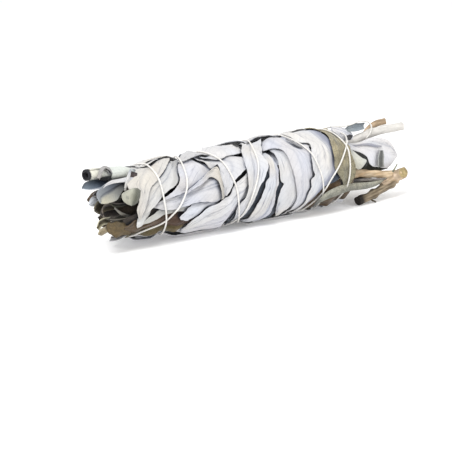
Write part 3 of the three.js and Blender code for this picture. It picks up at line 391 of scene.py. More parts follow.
        left=[(-0.046, 106), (-0.054, 107), (-0.062, 103), (-0.072, 103), (-0.08, 105), (-0.087, 108),
              (-0.0915, 115)],
        right=[(-0.046, 120), (-0.056, 124), (-0.064, 125), (-0.074, 126), (-0.083, 128), (-0.0885, 126),
               (-0.0918, 118)],
        piece="brown_leaf_1", colour=RUSSET, tip_colour=(0.115, 0.078, 0.045), sink=0.0006),
    "olive_low": dict(
        left=[(-0.042, 112), (-0.052, 112), (-0.06, 118), (-0.068, 123), (-0.078, 130), (-0.088, 139)],
        right=[(-0.042, 132), (-0.052, 137), (-0.06, 141), (-0.068, 145), (-0.078, 148), (-0.088, 145)],
        piece="brown_leaf_2", colour=OLIVE, tip_colour=OLIVE_BROWN, sink=0.0005),
    "end_low": dict(
        left=[(0.056, 92), (0.044, 96), (0.034, 102), (0.022, 118), (0.012, 134), (0.003, 148)],
        right=[(0.056, 134), (0.046, 142), (0.034, 150), (0.022, 154), (0.012, 157), (0.003, 158)],
        piece="brown_leaf_3", colour=BARK_BROWN, sink=0.0006),
}

# Leaves whose ends stand free of the bundle, each by its upper and lower edge from root to tip; "round_"
# pushes the middle out towards the seen side, as a share of the half width
FREE_LEAVES = {
    # trough: painted shade, near black along its upper edge and blue-grey in its hollow; its lower rim has
    # the cool leaf colour
    "trough": dict(
        upper=[(-0.074, -0.003, 0.033), (-0.086, -0.0035, 0.0338), (-0.0926, -0.004, 0.0346),
               (-0.0994, -0.0042, 0.0349), (-0.1047, -0.0048, 0.035), (-0.1076, -0.0058, 0.0345),
               (-0.1098, -0.007, 0.033)],
        lower=[(-0.074, -0.008, 0.029), (-0.087, -0.009, 0.0308), (-0.0963, -0.0092, 0.0326),
               (-0.0999, -0.0095, 0.0325), (-0.1034, -0.0095, 0.0323), (-0.1072, -0.0088, 0.0321),
               (-0.1099, -0.0073, 0.0327)],
        sprig=1, colour=(0.085, 0.1, 0.115), middle_colour=(0.15, 0.185, 0.225), low_colour=COOL,
        round_=-0.75, dark=(0.5, 0.4, 0.8)),
    # lobe: painted darker in its hollow, as shade
    "lobe": dict(
        upper=[(-0.087, -0.005, 0.0375), (-0.09, -0.0052, 0.0384), (-0.0926, -0.0057, 0.0391),
               (-0.0953, -0.0062, 0.04), (-0.0978, -0.0066, 0.0398)],
        lower=[(-0.088, -0.006, 0.0342), (-0.0915, -0.0063, 0.0343), (-0.0944, -0.0067, 0.0346),
               (-0.0976, -0.0071, 0.0352), (-0.0992, -0.0073, 0.0362)],
        sprig=1, colour=WARM, middle_colour=(0.3, 0.27, 0.27), round_=-0.8),
    "rim_strip": dict(
        upper=[(-0.079, -0.0075, 0.0345), (-0.0861, -0.009, 0.035), (-0.091, -0.0095, 0.0349),
               (-0.0963, -0.0105, 0.035), (-0.0998, -0.0115, 0.0342), (-0.1019, -0.012, 0.0328)],
        lower=[(-0.079, -0.0095, 0.031), (-0.0874, -0.0105, 0.033), (-0.0918, -0.011, 0.0335),
               (-0.097, -0.0118, 0.0337), (-0.1002, -0.0122, 0.0333), (-0.102, -0.0123, 0.0327)],
        sprig=2, colour=PALE, round_=0.6),
    "rim_fall": dict(
        upper=[(-0.0843, -0.009, 0.0385), (-0.0853, -0.0094, 0.0376), (-0.0879, -0.0104, 0.0339),
               (-0.0897, -0.0112, 0.0296)],
        lower=[(-0.0836, -0.0092, 0.0378), (-0.0845, -0.0098, 0.0361), (-0.0868, -0.011, 0.0325),
               (-0.0886, -0.0114, 0.0293)],
        sprig=2, colour=WARM, round_=0.7),
    # rim_gap: a dark sheet, painted as the shade in the gap behind the rim
    "rim_gap": dict(
        upper=[(-0.084, -0.008, 0.0375), (-0.085, -0.009, 0.035), (-0.0868, -0.0104, 0.0318),
               (-0.088, -0.0112, 0.0288)],
        lower=[(-0.08, -0.009, 0.036), (-0.0815, -0.01, 0.0335), (-0.0835, -0.0112, 0.0305),
               (-0.085, -0.0118, 0.028)],
        piece="centre_sprig_leaves", colour=(0.1, 0.075, 0.07), round_=0.1),
    # fan: its upper facet painted in shade and its lower facet painted lighter as lit, the lower one also
    # greener; strong painted shade towards its root and along its fold
    "fan": dict(
        upper=[(-0.0866, -0.008, 0.0346), (-0.0908, -0.0092, 0.0345), (-0.0955, -0.0104, 0.0344),
               (-0.1002, -0.0116, 0.034), (-0.1034, -0.0122, 0.0326), (-0.1057, -0.0127, 0.0306),
               (-0.1054, -0.0131, 0.0282), (-0.1043, -0.0135, 0.0264)],
        lower=[(-0.086, -0.01, 0.031), (-0.0905, -0.012, 0.03), (-0.093, -0.0132, 0.0285),
               (-0.0951, -0.0137, 0.0266), (-0.0985, -0.0139, 0.026), (-0.1013, -0.0139, 0.0258),
               (-0.1034, -0.0137, 0.026), (-0.1042, -0.0136, 0.0263)],
        sprig=2, colour=(0.28, 0.3, 0.32), low_colour=(0.42, 0.405, 0.33), round_=-0.3,
        folds=[(0.46, 0.0011)], dark=(0.12, 0.72, 0.95)),
    # tongue: towards its lower edge painted near black as the shaded side of its round form
    "tongue": dict(
        upper=[(-0.081, -0.0095, 0.028), (-0.087, -0.013, 0.0296), (-0.0915, -0.0147, 0.03),
               (-0.094, -0.0153, 0.0288), (-0.0938, -0.0158, 0.0265), (-0.0918, -0.0161, 0.0244),
               (-0.0893, -0.0163, 0.0232)],
        lower=[(-0.079, -0.011, 0.027), (-0.0822, -0.0146, 0.029), (-0.0834, -0.0156, 0.0284),
               (-0.0839, -0.0161, 0.0269), (-0.085, -0.0165, 0.0251), (-0.0869, -0.0166, 0.0237),
               (-0.089, -0.0164, 0.0231)],
        sprig=2, colour=(0.36, 0.362, 0.3), low_colour=(0.085, 0.088, 0.064), low_from=0.3, round_=0.45,
        dark=(0.16, 0.2, 0.6)),
    "grey_wing": dict(
        upper=[(-0.087, -0.005, 0.027), (-0.0999, -0.006, 0.0274), (-0.1025, -0.0066, 0.0283),
               (-0.105, -0.007, 0.0276), (-0.1064, -0.0073, 0.026), (-0.1065, -0.0073, 0.0246)],
        lower=[(-0.087, -0.0052, 0.0225), (-0.1, -0.0062, 0.0238), (-0.1018, -0.0067, 0.0236),
               (-0.1036, -0.0071, 0.0234), (-0.1054, -0.0073, 0.0237), (-0.1063, -0.0073, 0.0242)],
        sprig=3, colour=COOL, round_=0.3, folds=[(0.4, 0.0003)]),
    # wing_curl: painted near black in its hollow, as shade
    "wing_curl": dict(
        upper=[(-0.096, -0.007, 0.03), (-0.1004, -0.0078, 0.0306), (-0.1034, -0.0082, 0.0302),
               (-0.1048, -0.0084, 0.0291)],
        lower=[(-0.0965, -0.0072, 0.0278), (-0.1005, -0.008, 0.0284), (-0.1028, -0.0083, 0.0283),
               (-0.1046, -0.0084, 0.0287)],
        piece="centre_sprig_leaves", colour=(0.4, 0.38, 0.38), middle_colour=(0.05, 0.045, 0.05),
        round_=-0.8),
    # heart_curl: painted near black in its hollow, as shade
    "heart_curl": dict(
        upper=[(-0.086, -0.008, 0.0225), (-0.092, -0.009, 0.0233), (-0.0967, -0.01, 0.0245),
               (-0.1003, -0.011, 0.0243), (-0.1018, -0.0115, 0.0227), (-0.1018, -0.0118, 0.0205)],
        lower=[(-0.086, -0.008, 0.017), (-0.0921, -0.009, 0.0173), (-0.0957, -0.01, 0.0169),
               (-0.0987, -0.011, 0.0173), (-0.1008, -0.0115, 0.0185), (-0.1017, -0.0118, 0.0201)],
        piece="centre_sprig_leaves", colour=(0.21, 0.18, 0.15), middle_colour=(0.016, 0.011, 0.01),
        round_=-0.7),
    "heart_streak": dict(
        upper=[(-0.085, -0.0095, 0.0168), (-0.0873, -0.01, 0.0178), (-0.0915, -0.0108, 0.0199),
               (-0.0949, -0.0113, 0.0225)],
        lower=[(-0.085, -0.0095, 0.016), (-0.0874, -0.01, 0.0166), (-0.0917, -0.0108, 0.0184),
               (-0.0953, -0.0113, 0.0219)],
        piece="centre_sprig_leaves", colour=(0.34, 0.33, 0.29), round_=0.6),
    "heart_low_rim": dict(
        upper=[(-0.085, -0.01, 0.0166), (-0.0895, -0.0108, 0.0164), (-0.095, -0.0116, 0.0163),
               (-0.1, -0.0122, 0.0184)],
        lower=[(-0.085, -0.0102, 0.0152), (-0.0897, -0.0112, 0.0152), (-0.0955, -0.0119, 0.0152),
               (-0.1003, -0.0123, 0.0177)],
        piece="centre_sprig_leaves", colour=(0.22, 0.21, 0.16), middle_colour=(0.08, 0.075, 0.05),
        round_=0.4),
    # heart_top: painted darker still in its hollow, as shade
    "heart_top": dict(
        upper=[(-0.085, -0.007, 0.0262), (-0.09, -0.009, 0.0262), (-0.0945, -0.01, 0.0262),
               (-0.0975, -0.0105, 0.0252)],
        lower=[(-0.085, -0.0075, 0.0215), (-0.0905, -0.0095, 0.0218), (-0.0945, -0.0105, 0.0226),
               (-0.0972, -0.0106, 0.0246)],
        piece="centre_sprig_leaves", colour=(0.085, 0.085, 0.05), middle_colour=(0.03, 0.03, 0.018),
        round_=-0.8),
    # heart_fold: painted near black in its hollow, as shade
    "heart_fold": dict(
        upper=[(-0.085, -0.011, 0.0166), (-0.089, -0.0118, 0.0164), (-0.093, -0.0124, 0.0166),
               (-0.0968, -0.0128, 0.017), (-0.099, -0.013, 0.0176)],
        lower=[(-0.085, -0.0112, 0.0146), (-0.0892, -0.012, 0.0142), (-0.0932, -0.0126, 0.0146),
               (-0.0966, -0.013, 0.0156), (-0.0988, -0.0131, 0.017)],
        piece="centre_sprig_leaves", colour=(0.2, 0.18, 0.14), middle_colour=(0.028, 0.022, 0.016),
        round_=-0.6),
    # cream_curl: cream at its edges, painted dark in its hollow as shade
    "cream_curl": dict(
        upper=[(-0.096, -0.01, 0.0178), (-0.0985, -0.0112, 0.018), (-0.1019, -0.0118, 0.0182),
               (-0.1044, -0.0122, 0.0174), (-0.1055, -0.0124, 0.0154)],
        lower=[(-0.0965, -0.0102, 0.015), (-0.0992, -0.0115, 0.0154), (-0.1017, -0.012, 0.0155),
               (-0.1034, -0.0123, 0.0148), (-0.105, -0.0124, 0.0135)],
        piece="centre_sprig_leaves", colour=(0.5, 0.47, 0.33), middle_colour=(0.09, 0.075, 0.04),
        round_=-0.8),
    "cream_knob": dict(
        upper=[(-0.0985, -0.0118, 0.015), (-0.1018, -0.0125, 0.0146), (-0.1046, -0.0128, 0.014),
               (-0.106, -0.0129, 0.0122)],
        lower=[(-0.0985, -0.012, 0.012), (-0.1015, -0.0127, 0.0113), (-0.104, -0.0129, 0.0108),
               (-0.1058, -0.0129, 0.0115)],
        piece="centre_sprig_leaves", colour=(0.48, 0.44, 0.33), middle_colour=(0.26, 0.21, 0.13),
        round_=0.6),
    "tan_low": dict(
        upper=[(-0.078, -0.0105, 0.014), (-0.084, -0.012, 0.0143), (-0.088, -0.0125, 0.015),
               (-0.092, -0.0129, 0.0151), (-0.0957, -0.0132, 0.0163), (-0.0985, -0.0135, 0.016),
               (-0.1004, -0.0136, 0.0166), (-0.1018, -0.0136, 0.015)],
        lower=[(-0.078, -0.0115, 0.0095), (-0.0855, -0.0131, 0.0099), (-0.089, -0.0135, 0.0089),
               (-0.093, -0.0138, 0.0094), (-0.0964, -0.0139, 0.0088), (-0.099, -0.0139, 0.0106),
               (-0.1008, -0.0139, 0.0117), (-0.1016, -0.0137, 0.0146)],
        piece="brown_leaf_2", colour=(0.095, 0.068, 0.03), middle_colour=(0.14, 0.099, 0.046), round_=0.25,
        folds=[(0.25, 0.0004), (0.6, 0.0003)], dark=(0.1, 0.4, 0.5)),
    # heart_left: painted darker in its hollow, as shade
    "heart_left": dict(
        upper=[(-0.09, -0.0075, 0.025), (-0.0993, -0.009, 0.0257), (-0.1025, -0.0095, 0.026),
               (-0.1049, -0.01, 0.0243), (-0.1053, -0.01, 0.0221)],
        lower=[(-0.09, -0.0075, 0.0205), (-0.0995, -0.009, 0.0205), (-0.1015, -0.0095, 0.02),
               (-0.1035, -0.01, 0.0208), (-0.1049, -0.01, 0.0218)],
        piece="centre_sprig_leaves", colour=(0.12, 0.1, 0.055), middle_colour=(0.045, 0.035, 0.02),
        round_=-0.5),
    "stem_wing": dict(
        upper=[(0.048, -0.006, 0.033), (0.0554, -0.0065, 0.0322), (0.0595, -0.0068, 0.0318),
               (0.0627, -0.0072, 0.0315), (0.0669, -0.0078, 0.0319), (0.0711, -0.0078, 0.0327),
               (0.0782, -0.0074, 0.0328), (0.0855, -0.0068, 0.031), (0.0892, -0.0064, 0.0294),
               (0.0925, -0.0064, 0.0259), (0.0951, -0.0069, 0.0213)],
        lower=[(0.048, -0.011, 0.028), (0.054, -0.0108, 0.0285), (0.0571, -0.0106, 0.029),
               (0.0603, -0.0106, 0.0283), (0.0638, -0.0109, 0.0265), (0.0673, -0.0111, 0.0243),
               (0.069, -0.0111, 0.022), (0.0718, -0.011, 0.0193), (0.0781, -0.0101, 0.0176),
               (0.0862, -0.0088, 0.016), (0.0948, -0.0071, 0.0205)],
        sprig=2, colour=BRIGHT, round_=0.25, folds=[(0.24, 0.0011)]),
    # wing_rim: painted bluer and darker towards its lower edge, as shade
    "wing_rim": dict(
        upper=[(0.056, -0.007, 0.0322), (0.0618, -0.0085, 0.0318), (0.0654, -0.0096, 0.0322),
               (0.0705, -0.01, 0.0318), (0.0753, -0.0104, 0.0306), (0.079, -0.0104, 0.0292)],
        lower=[(0.056, -0.0078, 0.03), (0.0618, -0.0092, 0.0305), (0.0656, -0.0102, 0.0308),
               (0.0705, -0.0107, 0.03), (0.0753, -0.011, 0.0286), (0.0788, -0.0108, 0.0284)],
        sprig=2, colour=PALE, low_colour=(0.33, 0.33, 0.37), round_=0.5),
    # wing_slot: dark in its middle, painted as the shade in a slot of the wing
    "wing_slot": dict(
        upper=[(0.0762, -0.0128, 0.027), (0.0744, -0.0136, 0.0243), (0.0742, -0.0137, 0.0212),
               (0.075, -0.013, 0.0182)],
        lower=[(0.079, -0.0124, 0.0266), (0.0792, -0.013, 0.0238), (0.079, -0.0131, 0.0205),
               (0.0802, -0.0124, 0.0174)],
        sprig=2, colour=(0.4, 0.41, 0.4), middle_colour=(0.09, 0.095, 0.09), round_=-0.1,
        dark=(0, 0.2, 0.1)),
    # under_wing: a near black sheet, painted as the shadow under the wing
    "under_wing": dict(
        upper=[(0.05, -0.005, 0.029), (0.061, -0.0066, 0.0282), (0.069, -0.0078, 0.024),
               (0.079, -0.008, 0.0195), (0.087, -0.0078, 0.0178)],
        lower=[(0.05, -0.006, 0.018), (0.061, -0.0078, 0.0172), (0.069, -0.0086, 0.0156),
               (0.079, -0.0088, 0.015), (0.0862, -0.0086, 0.0152)],
        piece="centre_sprig_leaves", colour=(0.03, 0.03, 0.02), round_=0.1),
    # under_tan: a near black sheet, painted as the shadow under the tan stem
    "under_tan": dict(
        upper=[(0.048, -0.008, 0.015), (0.0593, -0.0092, 0.0149), (0.0697, -0.0098, 0.0128),
               (0.081, -0.0106, 0.0104)],
        lower=[(0.048, -0.009, 0.0085), (0.0563, -0.0098, 0.0088), (0.0666, -0.0102, 0.0086),
               (0.0805, -0.0108, 0.0086)],
        piece="centre_sprig_leaves", colour=(0.03, 0.022, 0.016), round_=0.2),
    "strip_rim": dict(
        upper=[(0.056, -0.013, 0.0138), (0.064, -0.014, 0.0136), (0.072, -0.014, 0.0126),
               (0.079, -0.0137, 0.0119)],
        lower=[(0.056, -0.0135, 0.013), (0.064, -0.0145, 0.0128), (0.072, -0.0144, 0.0119),
               (0.079, -0.0139, 0.0114)],
        piece="grey_green_leaf", colour=(0.2, 0.18, 0.16), round_=0.6),
    # fin_gap: a near black sheet, painted as the shade in the gap beside the fin
    "fin_gap": dict(
        upper=[(0.054, -0.011, 0.0306), (0.06, -0.0116, 0.0284), (0.0644, -0.0118, 0.0266),
               (0.0675, -0.0118, 0.0244), (0.069, -0.0118, 0.0211)],
        lower=[(0.0545, -0.0112, 0.0284), (0.059, -0.0116, 0.0254), (0.0625, -0.0118, 0.0235),
               (0.0645, -0.0118, 0.0212), (0.066, -0.0118, 0.019)],
        piece="centre_sprig_leaves", colour=(0.018, 0.02, 0.018), round_=0.0),
    "small_fin": dict(
        upper=[(0.05, -0.0125, 0.0315), (0.055, -0.0128, 0.0298), (0.0592, -0.0132, 0.0268),
               (0.0622, -0.0135, 0.0248), (0.065, -0.0137, 0.0232), (0.0629, -0.0138, 0.021),
               (0.0609, -0.0138, 0.0196)],
        lower=[(0.049, -0.0135, 0.0285), (0.052, -0.0132, 0.028), (0.054, -0.0134, 0.0268),
               (0.0552, -0.0136, 0.0248), (0.0558, -0.0138, 0.023), (0.057, -0.0139, 0.0208),
               (0.0594, -0.0139, 0.0195)],
        sprig=2, colour=(0.53, 0.53, 0.47), round_=0.25),
    "top_flap": dict(
        upper=[(0.054, 0.002, 0.037), (0.0622, 0.0, 0.038), (0.065, -0.0002, 0.0398),
               (0.0679, -0.0004, 0.0407), (0.0724, -0.0004, 0.0402), (0.077, -0.0002, 0.0399)],
        lower=[(0.054, 0.0, 0.036), (0.0612, -0.001, 0.0372), (0.0645, -0.0016, 0.0368),
               (0.068, -0.0018, 0.0364), (0.072, -0.0018, 0.0365), (0.0758, -0.0014, 0.0368)],
        sprig=1, colour=(0.12, 0.14, 0.15), middle_colour=(0.245, 0.275, 0.295),
        low_colour=(0.33, 0.37, 0.39), round_=-0.5),
    "stem_cuff": dict(
        upper=[(0.053, 0.001, 0.04), (0.0587, 0.001, 0.0393), (0.0639, 0.001, 0.0379),
               (0.0684, 0.001, 0.0352)],
        lower=[(0.0501, -0.002, 0.0389), (0.0552, -0.002, 0.0357), (0.0603, -0.002, 0.0329),
               (0.0651, -0.002, 0.0313)],
        sprig=1, colour=BRIGHT, round_=0.4, folds=[(0.4, 0.0005)], dark=(0.0, 0.1, 0.3)),
    # root_gap: a near black sheet, painted as the shade in a gap between the roots
    "root_gap": dict(
        upper=[(0.0601, -0.004, 0.0354), (0.0619, -0.004, 0.0359), (0.0645, -0.004, 0.0351)],
        lower=[(0.0595, -0.005, 0.0337), (0.0614, -0.005, 0.0331), (0.0632, -0.005, 0.0341)],
        piece="centre_sprig_leaves", colour=(0.04, 0.04, 0.045), round_=0.0),
    "stem_strip": dict(
        upper=[(0.024, -0.0185, 0.0075), (0.0268, -0.0193, 0.01), (0.0318, -0.0193, 0.0124),
               (0.0384, -0.0192, 0.0139), (0.0465, -0.0184, 0.0142), (0.0552, -0.0167, 0.0132),
               (0.0655, -0.015, 0.0118), (0.0755, -0.014, 0.0115), (0.0803, -0.0136, 0.0121)],
        lower=[(0.023, -0.018, 0.006), (0.0264, -0.0185, 0.0073), (0.0329, -0.019, 0.0088),
               (0.0399, -0.0191, 0.0098), (0.0473, -0.0184, 0.0104), (0.056, -0.0167, 0.0096),
               (0.0649, -0.0151, 0.0089), (0.0748, -0.0141, 0.0097), (0.08, -0.0136, 0.0118)],
        piece="grey_green_leaf", colour=(0.36, 0.35, 0.28), low_colour=(0.23, 0.23, 0.19), round_=0.35,
        folds=[(0.4, 0.0003)], dark=(0.0, 0.12, 0.7)),
    # roll_gap: a near black sheet, painted as the shade in the gap beside the roll
    "roll_gap": dict(
        upper=[(-0.0935, -0.0072, 0.0362), (-0.096, -0.0073, 0.0364), (-0.0985, -0.0073, 0.0363),
               (-0.1008, -0.0072, 0.0362)],
        lower=[(-0.0935, -0.0072, 0.0344), (-0.096, -0.0073, 0.0345), (-0.0985, -0.0073, 0.0348),
               (-0.101, -0.0072, 0.0354)],
        piece="centre_sprig_leaves", colour=(0.012, 0.012, 0.014), round_=0.1),
    "white_end": dict(
        upper=[(-0.078, -0.0148, 0.0225), (-0.0803, -0.0156, 0.0201), (-0.0832, -0.0158, 0.0182),
               (-0.0852, -0.0157, 0.0162), (-0.0858, -0.0154, 0.0129)],
        lower=[(-0.0765, -0.0152, 0.0205), (-0.0782, -0.0158, 0.0179), (-0.0809, -0.0159, 0.015),
               (-0.0831, -0.0157, 0.0125), (-0.0853, -0.0154, 0.0118)],
        sprig=3, colour=(0.58, 0.57, 0.54), round_=0.3),
}

# Stems: for each the wood it is made of and its parts, each along a line to its cut end
STEM_RING = 0.0105
STEM_REACH = 0.050
BAR_SIDES = 18
BAR_CUTS = 58
PATH_POINTS = 200
KNOT_SWELL = 0.28
KNOT_WIDTH = 0.0016
TO_EYE = np.array([-0.62, -0.76, 0.18])
PINK_BARK = ((0.67, 0.652, 0.615), (0.60, 0.573, 0.54))
TAN_BARK = ((0.78, 0.63, 0.44), (0.50, 0.34, 0.19))
BASE_BARK = ((0.62, 0.49, 0.37), (0.38, 0.28, 0.17))
BRANCH_BARK = ((0.36, 0.29, 0.20), (0.12, 0.09, 0.055))
TWIG_BARK = ((0.30, 0.30, 0.22), (0.18, 0.18, 0.12))
SLIM_BARK = ((0.55, 0.42, 0.29), (0.40, 0.28, 0.17))
# painted shade: near black bark for the stems that lie in shadow
SHADED_BARK = ((0.10, 0.075, 0.05), (0.04, 0.03, 0.02))
STEMS = {
    "stem_1": ("pale_stem", [dict(
        ring=1, radii=[0.0018, 0.0021, 0.0025, 0.0024, 0.0022], bark=PINK_BARK, cut=(0.60, 0.58, 0.54),
        slant=0.3,
        line=[(0.068, -0.001, 0.0312), (0.078, -0.0005, 0.0333), (0.088, 0, 0.0342), (0.106, 0, 0.0345)])]),
    "stem_2": ("tan_stem", [dict(
        ring=2, radii=[0.0014, 0.0017], bark=SHADED_BARK, cut=(0.2, 0.15, 0.09),
        line=[(0.072, -0.0085, 0.0215)])]),
    "forked_stem": ("tan_stem", [
        dict(ring=3, radii=[0.0014, 0.0017, 0.0019, 0.0020, 0.0021], bark=TAN_BARK, cut=(0.6, 0.5, 0.3),
             knots=(0.775,), line=[(0.060, -0.0100, 0.0163), (0.0708, -0.0105, 0.0149),
                                   (0.0808, -0.0112, 0.0133), (0.092, -0.0120, 0.0120)]),
        dict(radii=[0.0018, 0.0024, 0.0029, 0.0029], bark=BASE_BARK, cut=(0.44, 0.345, 0.165), slant=2.2,
             knots=(0.6,), line=[(0.079, -0.0121, 0.0075), (0.084, -0.0123, 0.0094),
                                 (0.089, -0.0126, 0.0112), (0.0943, -0.0128, 0.0126)]),
        dict(radii=[0.0021, 0.0023, 0.0022, 0.0022, 0.0024], bark=BRANCH_BARK, cut=NEAR_BLACK, lumps=0.13,
             knots=(0.2, 0.62), dark_end=1.0,
             line=[(0.0905, -0.0125, 0.0112), (0.0866, -0.0128, 0.0086), (0.0773, -0.0130, 0.0060),
                   (0.0686, -0.0132, 0.0040), (0.0597, -0.0135, 0.0026)]),
        dict(radii=[0.0007, 0.0005, 0.0004], bark=SHADED_BARK, cut=(0.05, 0.04, 0.03),
             line=[(0.0672, -0.0138, 0.0035), (0.0690, -0.0148, 0.0018), (0.0712, -0.0154, 0.0006)]),
        dict(radii=[0.0006, 0.0004, 0.0003], bark=TWIG_BARK, cut=(0.2, 0.2, 0.15),
             line=[(0.0855, -0.0122, 0.0130), (0.0874, -0.0128, 0.0155), (0.0893, -0.0130, 0.0180)])]),
    "stem_4": ("brown_stem", [dict(
        ring=4, radii=[0.0015, 0.0018], bark=SHADED_BARK, cut=(0.12, 0.09, 0.05),
        line=[(0.074, 0.0005, 0.009)])]),
    "stem_5": ("tan_stem", [dict(
        ring=5, radii=[0.0016, 0.0021], bark=TAN_BARK, cut=(0.5, 0.4, 0.25), line=[(0.086, 0.01, 0.013)])]),
    "stem_6": ("brown_stem", [dict(
        ring=6, radii=[0.0013, 0.0014, 0.0015, 0.0017, 0.0018], bark=SLIM_BARK, cut=(0.55, 0.47, 0.36),
        slant=0.4,
        line=[(0.076, 0.0094, 0.0262), (0.085, 0.0090, 0.0295), (0.0905, 0.0086, 0.0345),
              (0.0945, 0.0083, 0.0360), (0.1008, 0.0078, 0.0368)])]),
    "centre_stem": ("brown_stem", [dict(
        ring=0, radii=[0.0016, 0.0020], bark=SHADED_BARK, cut=(0.15, 0.11, 0.07),
        line=[(0.09, 0.0005, 0.0205)])]),
}

# Rolled leaves: a line from root to tip, a radius, how far round it is rolled and where its seam is
ROLLED_LEAVES = {
    # rolled_tip: near black at its mouth, painted as the shade inside the tube
    "rolled_tip": dict(
        line=[(-0.07, -0.003, 0.03), (-0.0778, -0.0032, 0.0335), (-0.0874, -0.0034, 0.036),
              (-0.0947, -0.0037, 0.0369), (-0.1004, -0.0041, 0.0375), (-0.1061, -0.0045, 0.0377)],
        radius=0.0026, turns=1.25, seam=200, colour=(0.56, 0.56, 0.5), mouth=0.955),
    # rolled_dark: a near black roll inside the tip's roll, painted as the shade in its mouth
    "rolled_dark": dict(
        line=[(-0.08, -0.0034, 0.0345), (-0.0874, -0.0034, 0.036), (-0.0947, -0.0037, 0.0369),
              (-0.1004, -0.0041, 0.0375), (-0.1053, -0.0045, 0.0377)],
        radius=0.0017, turns=1.1, seam=20, colour=(0.006, 0.005, 0.01), piece="centre_sprig_leaves"),
    "roll_curl": dict(
        line=[(-0.0938, -0.007, 0.0372), (-0.095, -0.0068, 0.0392), (-0.0966, -0.0062, 0.0402),
              (-0.0985, -0.0066, 0.0396), (-0.0998, -0.007, 0.0376), (-0.1012, -0.0072, 0.036)],
        radius=0.0008, turns=0.8, seam=60, colour=(0.3, 0.29, 0.28)),
    # rolled_sleeve: painted shade towards its root, where the broad leaf's edge shades it
    "rolled_sleeve": dict(
        line=[(-0.066, -0.003, 0.029), (-0.074, -0.0036, 0.0322), (-0.08, -0.0042, 0.0345),
              (-0.086, -0.0045, 0.0365), (-0.0935, -0.0046, 0.037)],
        radius=0.0034, turns=0.85, seam=215, colour=(0.55, 0.57, 0.52), dark=(0.5, 0.14, 0.97)),
}


def seeded(name, prime):
    """Random draws that depend on a name alone."""
    return np.random.default_rng(sum(map(ord, name)) * prime)


def place_at(x, angle, radius):
    """Points in space from places on the bundle and distances from its axis."""
    turn = np.radians(angle)
    return np.stack([x + AXIS[0], AXIS[1] - radius * np.sin(turn), AXIS[2] + radius * np.cos(turn)], -1)


def unit(vectors):
    """The same directions, one long."""
    return vectors / np.linalg.norm(vectors, axis=1)[:, None]


def distances(points, scale=1):
    """How far along a line each of its points lies."""
    return np.concatenate([[0], np.cumsum(np.linalg.norm(np.diff(points, axis=0) * scale, axis=1))])


def curve_at(knots, at, t):
    """Points of the smooth curve through knots, each knot at its own distance, at the distances t."""
    slope = np.gradient(knots, at, axis=0)
    i = np.clip(np.searchsorted(at, t, side="right") - 1, 0, len(at) - 2)
    span = at[i + 1] - at[i]
    s = (t - at[i]) / span
    if knots.ndim > 1:
        s, span = s[:, None], span[:, None]
    rest = (1 - s) ** 2
    return (knots[i] * (1 + 2 * s) * rest + slope[i] * span * s * rest
            + knots[i + 1] * s * s * (3 - 2 * s) + slope[i + 1] * span * s * s * (s - 1))


def smooth_line(points, count):
    """Evenly spaced points on a smooth curve through a list of points or of places on the bundle."""
    knots = np.array(points, float)
    at = distances(knots, np.array([1, DEGREE_ARC]) if knots.shape[1] == 2 else 1)
    return curve_at(knots, at, np.linspace(0, at[-1], count))


def route_x(turn):
    """Where along the bundle the twine is when it has wound this far round."""
    turns, places = np.array(TWINE_ROUTE, float).T
    return curve_at(places, turns, turn)


class SurfaceMap:
    """A number for each small patch of the bundle's surface."""

    cell = 0.0003
    start = -LENGTH / 2 - 0.006
    rows = int((LENGTH + 0.012) / cell)
    columns = 360

    def __init__(self, value):
        self.cells = np.full((self.rows, self.columns), float(value))

    def index(self, x, angle):
        """The patch that a place lies in."""
        row = np.clip(np.rint((x - self.start) / self.cell).astype(int), 0, self.rows - 1)
        return row, np.rint(angle).astype(int) % self.columns

    def at(self, x, angle):
        """The value at a place, straight between the patches."""
        row = np.clip((x - self.start) / self.cell, 0, self.rows - 1.001)
        column = np.mod(angle, self.columns)
        i, j = np.floor(row).astype(int), np.floor(column).astype(int) % self.columns
        a, b = row - i, column - np.floor(column)
        k = (j + 1) % self.columns
        near = self.cells[i, j] * (1 - b) + self.cells[i, k] * b
        far = self.cells[i + 1, j] * (1 - b) + self.cells[i + 1, k] * b
        return near * (1 - a) + far * a

    def spread(self, distance, pick):
        """The least, the greatest or the mean value within a distance of each patch."""
        high = int(round(distance / self.cell))
        wide = int(round(distance / DEGREE_ARC))
        result = SurfaceMap(0)
        padded = np.pad(self.cells, ((high, high), (0, 0)), mode="edge")
        middle = pick(np.stack([padded[i:i + self.rows] for i in range(2 * high + 1)]), axis=0)
        result.cells = pick(np.stack([np.roll(middle, j, axis=1) for j in range(-wide, wide + 1)]), axis=0)
        return result


def arc_between(angles, turn):
    """The way round the bundle from a turn of twine to other angles."""
    return np.radians((angles - turn + 180) % 360 - 180) * UNROLL_RADIUS


def twine_dips():
    """How deep the twine pulls the leaves in, over the whole surface."""
    gaps = SurfaceMap(1)
    rows = gaps.start + np.arange(gaps.rows) * gaps.cell
    angles = np.arange(gaps.columns)
    for turn in np.arange(TWINE_ROUTE[0][0], TWINE_ROUTE[-1][0], DIP_STEP):
        x = route_x(turn)
        window = np.abs(rows - x) < TWINE_REACH
        gap = (rows[window, None] - x) ** 2 + arc_between(angles, turn)[None, :] ** 2
        gaps.cells[window] = np.minimum(gaps.cells[window], gap)
    down = np.maximum(-np.cos(np.radians(angles)), 0)
    depth = TWINE_DIP + UNDER_DIP * down ** PRESS_SHARPNESS
    gaps.cells = depth * np.maximum(1 - gaps.cells / TWINE_REACH ** 2, 0) ** 2
    return gaps


def floor_limit(angle, thick=0.0):
    """The greatest radius that stays above the floor, for something this thick below it."""
    return (AXIS[2] - thick - FLOOR_GAP) / np.maximum(-np.cos(np.radians(angle)), 0.05)


def outline(x):
    """The bundle's radius along its length."""
    return np.interp(x, *zip(*OUTLINE))


